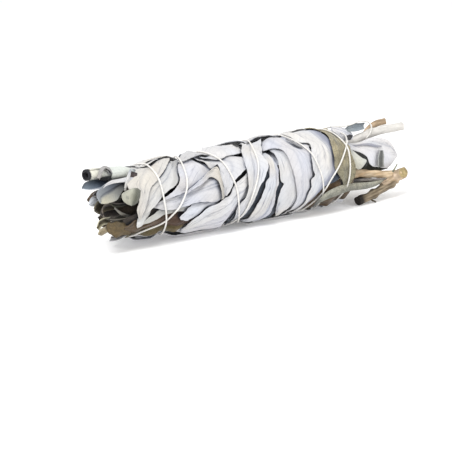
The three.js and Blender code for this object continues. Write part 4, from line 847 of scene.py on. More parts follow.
def skin(x, angle):
    """The bundle's outer radius: the outline, sagging flat where it lies, pulled in at the twine."""
    down = np.maximum(-np.cos(np.radians(angle)), 0)
    lies = (x > REST_SPAN[0]) & (x < REST_SPAN[1])
    sag = np.where(lies, np.maximum(AXIS[2] + SAG - outline(x), 0) * down ** SAG_SHARPNESS, 0)
    return np.minimum(outline(x) + sag, floor_limit(angle)) - dips.at(x, angle)


def ripple(x, y, size, draw):
    """A smooth uneven surface, about -1 to 1, whose bumps are about one size wide."""
    total = np.zeros(np.broadcast(x, y).shape)
    for _ in range(5):
        way = draw.uniform(0, math.tau)
        wave = math.tau / (size * draw.uniform(1.2, 2.6))
        total += np.sin((x * math.cos(way) + y * math.sin(way)) * wave + draw.uniform(0, math.tau))
    return total / 3


dips = twine_dips()
ceiling = SurfaceMap(1)  # underside of the leaves laid so far
outside = SurfaceMap(0)  # their outer face
cover = SurfaceMap(0)  # 1 where a leaf lies
sheets = {}  # piece name: the sheets that will be joined into it


def mode(name):
    """Switches between the edit mode and the object mode."""
    bpy.ops.object.mode_set(mode=name)


def linked(name, mesh):
    """A new object of a mesh, in the scene."""
    piece = bpy.data.objects.new(name, mesh)
    bpy.context.scene.collection.objects.link(piece)
    return piece


def joined(parts, name):
    """One object made of several, named."""
    bpy.ops.object.select_all(action="DESELECT")
    for part in parts:
        part.select_set(True)
    bpy.context.view_layer.objects.active = parts[0]
    if len(parts) > 1:
        bpy.ops.object.join()
    piece = bpy.context.object
    piece.name = name
    return piece


def tint_corners(mesh, tint, own):
    """Gives each corner of a mesh its colour, with a number of the mesh's own beside it."""
    colour = mesh.color_attributes.new("tint", "FLOAT_COLOR", "POINT")
    beside = np.full(tint.shape[:-1] + (1,), float(own))
    colour.data.foreach_set("color", np.concatenate([tint, beside], -1).reshape(-1))


def grid_template(rows, columns):
    """A flat leaf, one unit long and two wide, with its midrib pressed in."""
    bpy.ops.mesh.primitive_grid_add(x_subdivisions=columns, y_subdivisions=rows, size=2)
    leaf = bpy.context.object
    leaf.scale = (1, 0.5, 1)
    leaf.location = (0, 0.5, 0)
    bpy.ops.object.transform_apply(location=True, scale=True)
    mode("EDIT")
    bpy.ops.mesh.select_all(action="DESELECT")
    mode("OBJECT")
    for vertex in leaf.data.vertices:
        vertex.select = abs(vertex.co.x) < 0.02
    mode("EDIT")
    bpy.ops.transform.translate(value=(0, 0, -1), use_proportional_edit=True, proportional_size=0.22,
                                proportional_edit_falloff="SHARP")
    mode("OBJECT")
    leaf.name = "leaf_template"
    corners = np.empty(len(leaf.data.vertices) * 3)
    leaf.data.vertices.foreach_get("co", corners)
    across, along, rib = np.moveaxis(corners.reshape(rows + 1, columns + 1, 3), -1, 0)
    return leaf, along, across, rib


TEMPLATES = {grade: grid_template(*size) for grade, size in GRADES.items()}


def make_sheet(grade, piece, points, tint):
    """A copy of a template with its corners at these points, tinted."""
    mesh = TEMPLATES[grade][0].data.copy()
    mesh.vertices.foreach_set("co", points.reshape(-1))
    tint_corners(mesh, tint, len(sheets.get(piece, ())) * 0.618 % 1)
    sheets.setdefault(piece, []).append(linked(piece, mesh))


def eased(radius, points):
    """Lowers a grid of radii until no step between neighbours is steeper than a leaf bends."""
    out = radius.copy()
    along, across = (EASE * np.linalg.norm(np.diff(points, axis=way), axis=-1) for way in (0, 1))
    for _ in range(2):
        for lines, step in ((out, along), (out.T, across.T)):
            for i in range(1, len(lines)):
                lines[i] = np.minimum(lines[i], lines[i - 1] + step[i - 1])
            for i in range(len(lines) - 2, -1, -1):
                lines[i] = np.minimum(lines[i], lines[i + 1] + step[i])
    return out


def softened(grid, times):
    """A grid of numbers with each one moved towards the mean of its neighbours."""
    for _ in range(times):
        wide = np.pad(grid, 1, mode="edge")
        grid = 0.5 * grid + 0.125 * (wide[:-2, 1:-1] + wide[2:, 1:-1] + wide[1:-1, :-2] + wide[1:-1, 2:])
    return grid


def finer(grid, times):
    """A grid of numbers with more places straight between its own."""
    rows, columns = grid.shape
    i = np.linspace(0, rows - 1, (rows - 1) * times + 1)
    j = np.linspace(0, columns - 1, (columns - 1) * times + 1)
    across = np.array([np.interp(j, np.arange(columns), line) for line in grid])
    return np.array([np.interp(i, np.arange(rows), line) for line in across.T]).T


def blend_colours(first, second, share):
    """A colour at each corner, part way between two."""
    return np.array(first) * (1 - share[..., None]) + np.array(second) * share[..., None]


def tint_of(colour, x, arc, shade, draw):
    """A leaf's colour over its grid: uneven, with painted shade blended in, bluer and darker, then near black
    where the shade is deepest.
    """
    warmth = ripple(x, arc, WARM_PATCH, draw)[..., None] * WARMTH
    light = ripple(x, arc, LIGHT_PATCH, draw)[..., None] * LIGHTNESS
    base = np.asarray(colour) * (1 + LEAF_TO_LEAF * draw.uniform(-1, 1)) * (1 + warmth + light)
    # painted shade: towards the blue shade colour, then towards near black
    base = blend_colours(base, base * np.array(SHADE), np.clip(shade * 2, 0, 1) * 0.85)
    return blend_colours(base, CREVICE_SHADE, np.clip(shade * 1.7 - 0.7, 0, 1))


def fold_lines(folds, share):
    """Depth and shade of the folds that run along a leaf, each at a share of its width."""
    depth, shade = np.zeros(share.shape), np.zeros(share.shape)
    for at, deep in folds:
        line = np.exp(-((share - at) / FOLD_WIDTH) ** 2)
        depth += deep * line
        shade += min(deep * FOLD_SHADE, MOST_FOLD_SHADE) * line
    return depth, shade


def leaf_places(left, right, across, draw):
    """A leaf's grid between its two edges, with the edges torn: x, angle, the way round, and its width."""
    first, second = (smooth_line(edge, len(across)) for edge in (left, right))
    share = (across + 1) / 2
    x = first[:, :1] * (1 - share) + second[:, :1] * share
    angle = first[:, 1:] * (1 - share) + second[:, 1:] * share
    arc = np.radians(angle) * UNROLL_RADIUS
    coarse, fine = (ripple(x, arc, size, draw) for size in TORN_SIZES)
    torn = (coarse + 0.5 * fine) * np.abs(across) ** 3
    width = np.hypot(first[:, 0] - second[:, 0], np.radians(first[:, 1] - second[:, 1]) * UNROLL_RADIUS)
    return x + torn * TORN_DEPTH, angle + torn * TORN_TURN, arc, width[:, None]


def base_under_others(x, angle, arc, sink):
    """The radius at which a leaf lies: on the bundle, sliding under the leaves laid before it."""
    roof = ceiling.spread(SLIDE_REACH, np.min).at(x, angle)
    base = np.minimum(skin(x, angle) - sink, roof - LEAF_GAP)
    base = softened(eased(base, np.stack([x, arc], -1)), 4)
    return np.minimum(base, ceiling.at(x, angle) - LEAF_GAP * 0.7)


def leaf_relief(x, arc, template, slim, fold_depth, lift, draw):
    """How far a leaf's face stands off its base: rib, cup, pleats, folds, waves and lifted edges."""
    _, along, across, rib = template
    cup = draw.uniform(*CUP) * (across ** 2 - 0.4)
    pleat = PLEAT_DEPTH * np.sin(math.pi * (across * PLEATS + draw.uniform(0, 2) + 0.3 * along))
    relief = (rib * RIB_DEPTH + cup + pleat) * slim - fold_depth
    for size, height in WAVES:
        relief = relief + height * ripple(x, arc, size, draw)
    edge = np.abs(across) ** 5 * (0.55 + 0.45 * ripple(along * 0.05, across * 0.004, 0.012, draw))
    return relief + EDGE_LIFT * lift * edge * slim


def shade_from_others(x, angle, arc, radius, crevice, shadow, draw):
    """How much painted shade a leaf gets beside and under the leaves laid before it: a dark line at their
    edges and a wider soft shadow.
    """
    near = np.clip(cover.spread(CREVICE_REACH, np.mean).at(x, angle) * 2.6 - 0.3, 0, 1)
    near *= np.clip((outside.spread(CREVICE_REACH, np.max).at(x, angle) - radius) / CREVICE_DEPTH, 0, 1)
    near *= np.clip(0.75 + 0.6 * ripple(x, arc, CREVICE_PATCH, draw), 0.15, 1) * crevice
    wide = cover.spread(SHADOW_REACH, np.mean).at(x, angle)
    wide = wide * np.clip(0.5 + 0.5 * ripple(x, arc, SHADOW_PATCH, draw), 0, 1) * shadow
    return np.maximum(near, np.minimum(wide, MOST_SHADOW))


def lay_leaf(name, left, right, colour, sprig=None, piece=None, grade="fine", sink=0.0, lift=1.0, raise_=0.0,
             root_dive=ROOT_DIVE, tip_colour=None, folds=(), crevice=1.0, shadow=0.5, rim=None):
    """Lays a leaf on the bundle, under all the leaves laid before it."""
    draw = seeded(name, 7919)
    _, along, across, _ = TEMPLATES[grade]
    share = (across + 1) / 2
    x, angle, arc, width = leaf_places(left, right, across, draw)
    base = base_under_others(x, angle, arc, sink)
    slim = np.clip(width / SLIM_WIDTH, LEAST_SLIM, 1)
    fold_depth, fold_shade = fold_lines(folds, share + 0.02 * np.sin(along * 5 + draw.uniform(0, 6)))
    relief = leaf_relief(x, arc, TEMPLATES[grade], slim, fold_depth, lift, draw)
    relief = relief + raise_ * np.sin(np.pi * along) ** 0.5
    radius = np.minimum(base + relief, ceiling.at(x, angle) - LEAF_GAP * 0.6)
    radius = radius - root_dive * np.clip(1 - along / ROOT_SHARE, 0, 1) ** 2
    radius = np.clip(radius, LEAST_RADIUS, floor_limit(angle))
    # painted shade from the leaves laid before it, scaled by crevice and shadow, and along the folds
    shade = shade_from_others(x, angle, arc, radius, crevice, shadow, draw)
    shade = np.clip(shade + fold_shade * slim, 0, 0.97)
    stamp_leaf(x, angle, radius)
    hue = colour
    if tip_colour:
        hue = blend_colours(hue, tip_colour, np.clip(along * 1.6 - 0.5, 0, 1))
    # rim: a painted shadow colour towards one edge, from a share of its width
    if rim:
        hue = blend_colours(hue, rim[0], np.clip((share - rim[1]) / RIM_FADE, 0, 1))
    piece = piece or (f"sprig_{sprig}_leaves" if sprig else sprig_of(angle[0, 0]))
    make_sheet(grade, piece, place_at(x, angle, radius), tint_of(hue, x, arc, shade, draw))


def sprig_of(angle):
    """The piece of the sprig whose stem stands nearest to an angle."""
    return f"sprig_{int(round(angle % 360 / (360 / SPRIG_COUNT))) % SPRIG_COUNT + 1}_leaves"


def stamp_leaf(x, angle, radius):
    """Marks a laid leaf, but for its sunk root, in the maps of ceilings, outer faces and cover."""
    times = 4 if len(x) > 50 else 8
    sunk = int(SUNK_SHARE * len(x))
    fine_x, fine_angle, fine_radius = (finer(grid[sunk:], times) for grid in (x, angle, radius))
    cell = ceiling.index(fine_x, fine_angle)
    np.minimum.at(ceiling.cells, cell, fine_radius - BLADE)
    np.maximum.at(outside.cells, cell, fine_radius)
    cover.cells[cell] = 1


def plain_leaf(root, tip, width, bow=0.0):
    """The two edges of a leaf from where it springs, where its tip lies, its width and its bend."""
    start, end = (np.array([x, angle * DEGREE_ARC]) for x, angle in (root, tip))
    run = end - start
    side = np.array([-run[1], run[0]]) / np.linalg.norm(run)
    edges = []
    for way in (1, -1):
        spots = [start + run * share + side * (bow * 4 * share * (1 - share) + way * wide * width / 2)
                 for share, wide in LEAF_SHAPE]
        edges.append([(x, arc / DEGREE_ARC) for x, arc in spots])
    return dict(left=edges[0], right=edges[1])


def tip_limit(angle):
    """How far towards the tips a leaf at this angle may reach: less on the far side."""
    return -0.092 - 0.014 * math.sin(math.radians(angle))


def lay_all_leaves():
    """Every leaf that lies on the bundle, from the outside in."""
    lay_leaf("under_stem_end", **plain_leaf((0.054, 181), (-0.024, 179), 0.021), colour=PALE, lift=0, sprig=4)
    lay_leaf("under_tip_end", **plain_leaf((-0.010, 176), (-0.084, 186), 0.018), colour=LAVENDER, lift=0,
             sprig=4)
    for name, leaf in SEEN_LEAVES.items():
        lay_leaf(name, **leaf)
    draw = np.random.default_rng(11)
    for i in range(BACK_COUNT):
        x = 0.056 - (i * 0.0377) % ROOT_SPAN
        angle = 156 + (i * 61.8) % 204
        end = angle + draw.uniform(-42, 42)
        tip = (max(x - draw.uniform(*RUN), tip_limit(end)), end)
        edges = plain_leaf((x, angle), tip, draw.uniform(*BACK_WIDTH), draw.uniform(*BACK_BOW))
        lay_leaf(f"back_{i}", **edges, colour=BACK_TINTS[i % len(BACK_TINTS)],
                 sink=draw.uniform(*BACK_SINK), lift=1.5, grade="medium")
    for i in range(INNER_COUNT):
        x = 0.060 - (i * 0.0447) % ROOT_SPAN
        angle = (i * 137.5) % 360
        end = angle + draw.uniform(-30, 30)
        tip = (max(x - draw.uniform(*RUN), tip_limit(end) + 0.004), end)
        edges = plain_leaf((x, angle), tip, draw.uniform(*INNER_WIDTH))
        # inner leaves painted near black as the shade deep inside the bundle
        lay_leaf(f"inner_{i}", **edges, colour=DEEP_SHADE if tip[0] > BROWN_FROM else DEEP_BROWN_SHADE,
                 sink=INNER_SINK, lift=0.3, grade="coarse")


def root_shade(along, until, fade, strength):
    """How much painted shade a leaf gets towards its root: full until a share of its length, then fading."""
    return np.clip((until + fade - along) / fade, 0, 1) * strength


def free_leaf(name, upper, lower, colour, sprig=None, piece=None, round_=0.0, middle_colour=None,
              low_colour=None, low_from=0.42, folds=(), dark=ROOT_DARK):
    """A leaf whose end stands free, spread between two edges."""
    draw = seeded(name, 6007)
    _, along, across, rib = TEMPLATES["medium"]
    share = (across + 1) / 2
    high, low = (smooth_line(edge, len(along))[:, None, :] for edge in (upper, lower))
    points = high * (1 - share[..., None]) + low * share[..., None]
    normal = np.cross(np.gradient((high + low)[:, 0], axis=0), (low - high)[:, 0])
    normal /= np.maximum(np.linalg.norm(normal, axis=1), 1e-9)[:, None]
    normal *= np.where(normal @ TO_FRONT < 0, -1, 1)[:, None]
    half = np.linalg.norm(low - high, axis=-1) / 2
    fold_depth, fold_shade = fold_lines(folds, share)
    lumps = LUMP_SHARE * ripple(along * LUMP_SIZE * 4, across * LUMP_SIZE, LUMP_SIZE, draw)
    off = half * (round_ * (1 - across ** 2) + lumps * (1 - across ** 4)) - fold_depth + rib * FREE_RIB_DEPTH
    points = points + normal[:, None] * off[..., None]
    hue = np.array(colour) * np.ones(points.shape)
    # low_colour: blended in towards the lower edge; on the tongue and the wing rim it is painted shade, while
    # on the trough and the fan the upper colour is the painted shade
    if low_colour is not None:
        hue = blend_colours(hue, low_colour, np.clip((share - low_from) / max(0.62 - low_from, 0.2), 0, 1))
    # middle_colour: blended in towards the middle across the width; on the dark-middled hollow curls it is
    # painted shade
    if middle_colour is not None:
        hue = blend_colours(hue, middle_colour, (1 - np.abs(across) ** 3) * np.ones(along.shape))
    # painted shade towards the root, set by dark, and along the folds
    shade = np.clip(root_shade(along, *dark) + fold_shade, 0, 0.9)
    make_sheet("medium", piece or f"sprig_{sprig}_leaves", points,
               tint_of(hue, points[..., 0], points[..., 2], shade, draw))


def rolled_leaf(name, line, radius, turns, seam, colour, piece="sprig_1_leaves", dark=ROOT_DARK, mouth=1.0):
    """A leaf rolled into a tube round a line, with painted shade on its inner turns and towards its root, and
    painted near black, as the shade inside the tube, from its mouth, a share of its length, to its tip.
    """
    draw = seeded(name, 5003)
    _, along, across, _ = TEMPLATES["medium"]
    centre = smooth_line(line, len(along))
    ahead = unit(np.gradient(centre, axis=0))
    side = unit(np.cross(ahead, (0, 0, 1)))
    up = np.cross(side, ahead)
    turn = math.radians(seam) + across * math.pi * turns
    size = radius * (1 - 0.14 * (across + 1)) * (1 + 0.05 * ripple(along * 0.03, across * 0.01, 0.01, draw))
    size = (size * (1 - 0.25 * np.clip(1 - along * 3, 0, 1)))[..., None]
    points = centre[:, None] + size * (up[:, None] * np.cos(turn)[..., None]
                                       + side[:, None] * np.sin(turn)[..., None])
    # painted shade on the inner turns, towards the root and at the mouth
    inner = np.clip((across - 0.62) * 2.5, 0, 0.8) if turns > 1 else 0 * across
    shade = np.maximum(np.maximum(inner, root_shade(along, *dark)), np.clip((along - mouth) / 0.01, 0, 1))
    make_sheet("medium", piece, points, tint_of(colour, points[..., 0], points[..., 2], shade, draw))


def heart_leaves():
    """Small crumpled leaves in the dark of the open end and round the stems."""
    draw = np.random.default_rng(5)
    for start, reach, count, ring in HEARTS:
        for i in range(count):
            turn = math.tau * (i + 0.4 * draw.uniform(-1, 1)) / count
            far = ring * draw.uniform(0.35, 1)
            y, z = AXIS[1] - far * math.sin(turn), AXIS[2] - 0.001 + far * math.cos(turn)
            run = reach * draw.uniform(0.75, 1.05)
            width = draw.uniform(*HEART_WIDTH)
            tilt = draw.uniform(0, math.pi)
            half = np.array([0, math.sin(tilt), math.cos(tilt)]) * width / 2
            edges = [[np.array([start + run * share, y, z]) + half * way * max(wide, 0.1)
                      + draw.uniform(-1, 1, 3) * HEART_CRUMPLE for share, wide in LEAF_SHAPE]
                     for way in (1, -1)]
            free_leaf(f"heart_{start}_{i}", *edges, colour=HEART_TINTS[i % len(HEART_TINTS)],
                      piece="centre_sprig_leaves", round_=draw.uniform(-0.9, 0.9))


def dress(piece, material, smooth_below):
    """Smooths a piece but for its sharp edges, in degrees, and gives it its material."""
    bpy.ops.object.shade_smooth_by_angle(angle=math.radians(smooth_below))
    piece.data.materials.clear()
    piece.data.materials.append(material)


def join_sheets(piece, material):
    """Joins a piece's sheets and gives them the thickness of a leaf."""
    leaf = joined(sheets.pop(piece), piece)
    leaf.data.name = piece
    mode("EDIT")
    bpy.ops.mesh.select_all(action="SELECT")
    bpy.ops.mesh.flip_normals()
    mode("OBJECT")
    bpy.ops.object.modifier_add(type="SOLIDIFY")
    leaf.modifiers[-1].thickness = BLADE
    leaf.modifiers[-1].offset = -1
    bpy.ops.object.modifier_apply(modifier=leaf.modifiers[-1].name)
    dress(leaf, material, 50)
    return leaf


def finish_piece(piece, slot, *nodes):
    """Makes a piece ride with the stick and stand for its CAD nodes."""
    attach(piece, "root")
    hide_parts(*nodes)


def new_material(name, roughness):
    """An empty principled material, with its tree and its shader."""
    material = bpy.data.materials.new(name)
    material.use_nodes = True
    tree = material.node_tree
    shader = tree.nodes["Principled BSDF"]
    shader.inputs["Roughness"].default_value = roughness
    return material, tree, shader


def plugged(tree, *pairs):
    """Fills sockets, each with another socket or with a value."""
    for socket, value in pairs:
        if isinstance(value, bpy.types.NodeSocket):
            tree.links.new(value, socket)
        else:
            socket.default_value = value


def noise_at(tree, vector, scale, detail):
    """Noise at a vector."""
    texture = tree.nodes.new("ShaderNodeTexNoise")
    sockets = texture.inputs
    plugged(tree, (sockets["Vector"], vector), (sockets["Scale"], scale), (sockets["Detail"], detail))
    return texture.outputs["Fac"]


def noise(tree, scale, detail, stretch=(1, 1, 1)):
    """Noise on Object coordinates, stretched."""
    place = tree.nodes.new("ShaderNodeTexCoord")
    mapping = tree.nodes.new("ShaderNodeMapping")
    plugged(tree, (mapping.inputs["Vector"], place.outputs["Object"]), (mapping.inputs["Scale"], stretch))
    return noise_at(tree, mapping.outputs["Vector"], scale, detail)


def mixed(tree, factor, first, second):
    """One colour multiplied by another, each a socket or a colour."""
    mix = tree.nodes.new("ShaderNodeMix")
    mix.data_type = "RGBA"
    mix.blend_type = "MULTIPLY"
    plugged(tree, (mix.inputs[0], factor), (mix.inputs[6], first), (mix.inputs[7], second))
    return mix.outputs[2]


def maths(tree, kind, first, second=0.0):
    """A sum on two inputs, each a socket or a number."""
    node = tree.nodes.new("ShaderNodeMath")
    node.operation = kind
    plugged(tree, *zip(node.inputs, (first, second)))
    return node.outputs[0]


def shades(tree, value, *stops):
    """A colour ramp with these (position, colour) stops."""
    node = tree.nodes.new("ShaderNodeValToRGB")
    for element, (position, colour) in zip(node.color_ramp.elements, stops):
        element.position = position
        element.color = (*colour, 1)
    tree.links.new(value, node.inputs["Fac"])
    return node.outputs["Color"]


def mottling(tree, value, start, depth, end=0.6):
    """White where a noise is high, and darker by this depth where it is low."""
    return shades(tree, value, (start, (1 - depth,) * 3), (end, (1, 1, 1)))


def bump(tree, height, distance, strength, under=None):
    """A bump of this height on the surface."""
    node = tree.nodes.new("ShaderNodeBump")
    node.inputs["Distance"].default_value = distance
    node.inputs["Strength"].default_value = strength
    tree.links.new(height, node.inputs["Height"])
    if under is not None:
        tree.links.new(under, node.inputs["Normal"])
    return node.outputs["Normal"]


def tint_node(tree):
    """A piece's colour at each corner, with its painted shade, and each leaf's own number as its alpha."""
    tint = tree.nodes.new("ShaderNodeAttribute")
    tint.attribute_name = "tint"
    return tint.outputs


def leaf_place(tree):
    """Where on its leaf a point lies, across and along."""
    uv = tree.nodes.new("ShaderNodeUVMap")
    uv.uv_map = "UVMap"
    parts = tree.nodes.new("ShaderNodeSeparateXYZ")
    tree.links.new(uv.outputs["UV"], parts.inputs["Vector"])
    return parts.outputs["X"], parts.outputs["Y"]


def veins(tree):
    """The side veins of a leaf, slanting from its midrib, 0 to 1."""
    across, along = leaf_place(tree)
    off = maths(tree, "ABSOLUTE", maths(tree, "SUBTRACT", across, 0.5))
    wobble = maths(tree, "MULTIPLY", noise(tree, 300, 2), 0.6)
    phase = maths(tree, "ADD", maths(tree, "MULTIPLY", along, SIDE_VEINS), maths(tree, "MULTIPLY", off, -5))
    wave = maths(tree, "SINE", maths(tree, "MULTIPLY", maths(tree, "ADD", phase, wobble), math.tau))
    line = maths(tree, "POWER", maths(tree, "MAXIMUM", wave, 0), 6)
    rib = maths(tree, "MAXIMUM", maths(tree, "SUBTRACT", 1, maths(tree, "MULTIPLY", off, 14)), 0)
    return maths(tree, "MAXIMUM", line, maths(tree, "POWER", rib, 2))


def leaf_noise(tree, wide, long, detail):
    """Noise laid out along each leaf, another one for every leaf."""
    across, along = leaf_place(tree)
    own = maths(tree, "MULTIPLY", tint_node(tree)["Alpha"], 37)
    place = tree.nodes.new("ShaderNodeCombineXYZ")
    plugged(tree, (place.inputs["X"], maths(tree, "MULTIPLY", across, wide)),
            (place.inputs["Y"], maths(tree, "MULTIPLY", along, long)), (place.inputs["Z"], own))
    return noise_at(tree, place.outputs["Vector"], 1, detail)


def creases(tree):
    """Fine broken lines where a dry leaf has creased, 0 to 1."""
    off = maths(tree, "ABSOLUTE", maths(tree, "SUBTRACT", leaf_noise(tree, 6, 2.2, 2), 0.5))
    line = maths(tree, "MAXIMUM", maths(tree, "SUBTRACT", 1, maths(tree, "MULTIPLY", off, 42)), 0)
    place = maths(tree, "MULTIPLY", maths(tree, "SUBTRACT", leaf_noise(tree, 4, 6, 1), 0.5), 7)
    return maths(tree, "MULTIPLY", line, maths(tree, "MINIMUM", maths(tree, "MAXIMUM", place, 0), 1))


def leaf_material(name, mottle, contrast):
    """Dried felted leaf: its tint with the painted shade in it, mottled, with veins and creases painted
    darker as shade, and fine down.
    """
    material, tree, shader = new_material(name, 0.88)
    blotch = mottling(tree, noise(tree, BLOTCHES, 5), 0.3, contrast, 0.62)
    speck = mottling(tree, noise(tree, SPECKS, 3), 0.35, mottle)
    colour = mixed(tree, 1, mixed(tree, 1, tint_node(tree)["Color"], blotch), speck)
    lines = veins(tree)
    cracks = creases(tree)
    # veins painted slightly darker and bluer in their grooves, as shade
    colour = mixed(tree, maths(tree, "MULTIPLY", lines, VEIN_SHARE), colour, VEIN_SHADE)
    # creases painted darker and bluer, as shade
    colour = mixed(tree, cracks, colour, CREASE_SHADE)
    tree.links.new(colour, shader.inputs["Base Color"])
    shader.inputs["Sheen Weight"].default_value = 0.2
    shader.inputs["Sheen Roughness"].default_value = 0.5
    shader.inputs["Specular IOR Level"].default_value = 0.2
    grooves = maths(tree, "MULTIPLY", maths(tree, "MAXIMUM", lines, cracks), -1)
    normal = bump(tree, grooves, VEIN_DEPTH, 0.6)
    tree.links.new(bump(tree, noise(tree, DOWN, 4), DOWN_DEPTH, 0.5, normal), shader.inputs["Normal"])
    return material


def wood_material(name, contrast):
    """Dry stem: its tint, near black as painted shade on the stems that lie in shadow, streaked along its
    length.
    """
    material, tree, shader = new_material(name, 0.8)
    streak = noise(tree, STREAKS, 6, (0.12, 1, 1))
    lines = mottling(tree, streak, 0.34, contrast)
    patch = mottling(tree, noise(tree, BLOTCHES, 4), 0.35, contrast * 0.6)
    colour = mixed(tree, 1, mixed(tree, 1, tint_node(tree)["Color"], lines), patch)
    tree.links.new(colour, shader.inputs["Base Color"])
    shader.inputs["Specular IOR Level"].default_value = 0.3
    tree.links.new(bump(tree, streak, STREAK_DEPTH, 0.8), shader.inputs["Normal"])
    return material


def twine_material():
    """Off-white cotton, with fine lint."""
    material, tree, shader = new_material("cotton_twine", 0.9)
    colour = shades(tree, noise(tree, 900, 4), *zip((0.3, 0.6), TWINE_TONES))
    tree.links.new(colour, shader.inputs["Base Color"])
    shader.inputs["Sheen Weight"].default_value = 0.3
    tree.links.new(bump(tree, noise(tree, LINT, 3), LINT_DEPTH, 0.6), shader.inputs["Normal"])
    return material


def twine_points():
    """The twine's path over the finished leaves: drawn taut, and climbing over its own earlier turns."""
    turns = np.arange(TWINE_ROUTE[0][0], TWINE_ROUTE[-1][0] + 0.1, TWINE_STEP)
    x = route_x(turns)
    under = np.maximum(outside.spread(TWINE_FEELS, np.max).at(x, turns), skin(x, turns) - TWINE_SINKS)
    for i in range(len(turns)):
        earlier = max(i - 40, 0)
        gap = np.hypot(x[:earlier] - x[i], arc_between(turns[:earlier], turns[i]))
        near = gap < CROSSING_REACH
        if near.any():
            slope = np.maximum(gap[near] - CROSSING_WIDTH, 0) * CROSSING_SLOPE
            under[i] = max(under[i], (under[:earlier][near] + 2 * TWINE_RADIUS - slope).max())
    radius = under.copy()
    for _ in range(TAUT_ROUNDS):
        mean = radius.copy()
        mean[1:-1] = (radius[:-2] + radius[2:]) / 2
        radius = np.maximum(under, mean)
    radius = np.minimum(radius + TWINE_RADIUS * TWINE_BED, floor_limit(turns, TWINE_RADIUS))
    return place_at(x, turns, radius)


def frames_along(points):
    """Unit vectors ahead, up and beside at each point of a line, turning as little as they can."""
    ahead = unit(np.gradient(points, axis=0))
    up = np.cross(ahead[0], (0.3, 0.5, 0.8))
    frames = []
    for way in ahead:
        up = up - way * np.dot(up, way)
        up = up / np.linalg.norm(up)
        frames.append(up)
    up = np.array(frames)
    return ahead, up, np.cross(ahead, up)


def even_line(points):
    """Points a ring's step apart along a line of points."""
    at = distances(points)
    t = np.linspace(0, at[-1], int(at[-1] / RING_STEP) + 1)
    return np.stack([np.interp(t, at, points[:, i]) for i in range(3)], -1)


def plied_tube(name, points):
    """A closed tube of twisted plies along evenly spaced points."""
    _, up, beside = frames_along(points)
    sides, last = TWINE_SIDES, (len(points) - 1) * TWINE_SIDES
    turn = (np.arange(sides) / sides * math.tau)[None]
    lobe = np.abs(np.cos((turn * TWINE_PLIES - distances(points)[:, None] / PLY_PITCH * math.tau) / 2))
    size = (TWINE_RADIUS * (PLY_CORE + PLY_LOBE * lobe))[..., None]
    ring = points[:, None] + size * (up[:, None] * np.cos(turn)[..., None]
                                     + beside[:, None] * np.sin(turn)[..., None])
    faces = [(i + j, i + (j + 1) % sides, i + sides + (j + 1) % sides, i + sides + j)
             for i in range(0, last, sides) for j in range(sides)]
    faces += [tuple(reversed(range(sides))), tuple(range(last, last + sides))]
    mesh = bpy.data.meshes.new(name)
    mesh.from_pydata(ring.reshape(-1, 3).tolist(), [], faces)
    mesh.update()
    return linked(name, mesh)


def knot_points():
    """An overhand knot lying on the leaves."""
    t = np.linspace(0, math.tau, 90)
    shape = np.stack([np.sin(t) + 2 * np.sin(2 * t), np.cos(t) - 2 * np.cos(2 * t), -np.sin(3 * t)], -1)
    shape = shape * KNOT_SIZE
    x, angle = np.array(KNOT)
    centre = place_at(x, angle, outside.at(x, angle) + KNOT_LIFT)
    turn = math.radians(angle)
    out = np.array([0, -math.sin(turn), math.cos(turn)])
    along = np.array([1, 0, 0])
    return centre + shape[:, :1] * along + shape[:, 1:2] * np.cross(out, along) + shape[:, 2:] * out


def make_twine():
    """The wound twine, its knot and its two tails, in one piece."""
    lines = dict(wound=twine_points(), knot=knot_points(), hitch=smooth_line(STEM_HITCH, 120),
                 tail=smooth_line(SHORT_TAIL, 60))
    cord = joined([plied_tube(name, even_line(line)) for name, line in lines.items()], "twine_wound")
    mode("EDIT")
    bpy.ops.mesh.select_all(action="SELECT")
    bpy.ops.mesh.normals_make_consistent(inside=False)
    mode("OBJECT")
    dress(cord, twine_material(), 60)
    finish_piece(cord, "twine", "twine")


def bar_template():
    """A round bar one unit long and one in radius, with rings along it and its end faces inset."""
    bpy.ops.mesh.primitive_cylinder_add(vertices=BAR_SIDES, radius=1, depth=1, location=(0, 0, 0.5))
    bar = bpy.context.object
    bpy.ops.object.transform_apply(location=True)
    mode("EDIT")
    bpy.ops.mesh.select_mode(type="EDGE")
    bpy.ops.mesh.select_all(action="DESELECT")
    mode("OBJECT")
    for edge in bar.data.edges:
        low, high = (bar.data.vertices[i].co.z for i in edge.vertices)
        edge.select = abs(high - low) > 0.5
    mode("EDIT")
    bpy.ops.mesh.subdivide(number_cuts=BAR_CUTS)
    bpy.ops.mesh.select_mode(type="FACE")
    bpy.ops.mesh.select_all(action="DESELECT")
    mode("OBJECT")
    for face in bar.data.polygons:
        face.select = abs(face.normal.z) > 0.9
    mode("EDIT")
    bpy.ops.mesh.inset(thickness=0.16)
    bpy.ops.mesh.inset(thickness=0.34)
    bpy.ops.mesh.select_mode(type="VERT")
    mode("OBJECT")
    return bar


def ring_point(number, x):
    """Where the stem of a sprig runs inside the bundle; number 0 is the middle one."""
    return tuple(place_at(x, (number - 1) * 360 / SPRIG_COUNT, STEM_RING if number else 0.0))


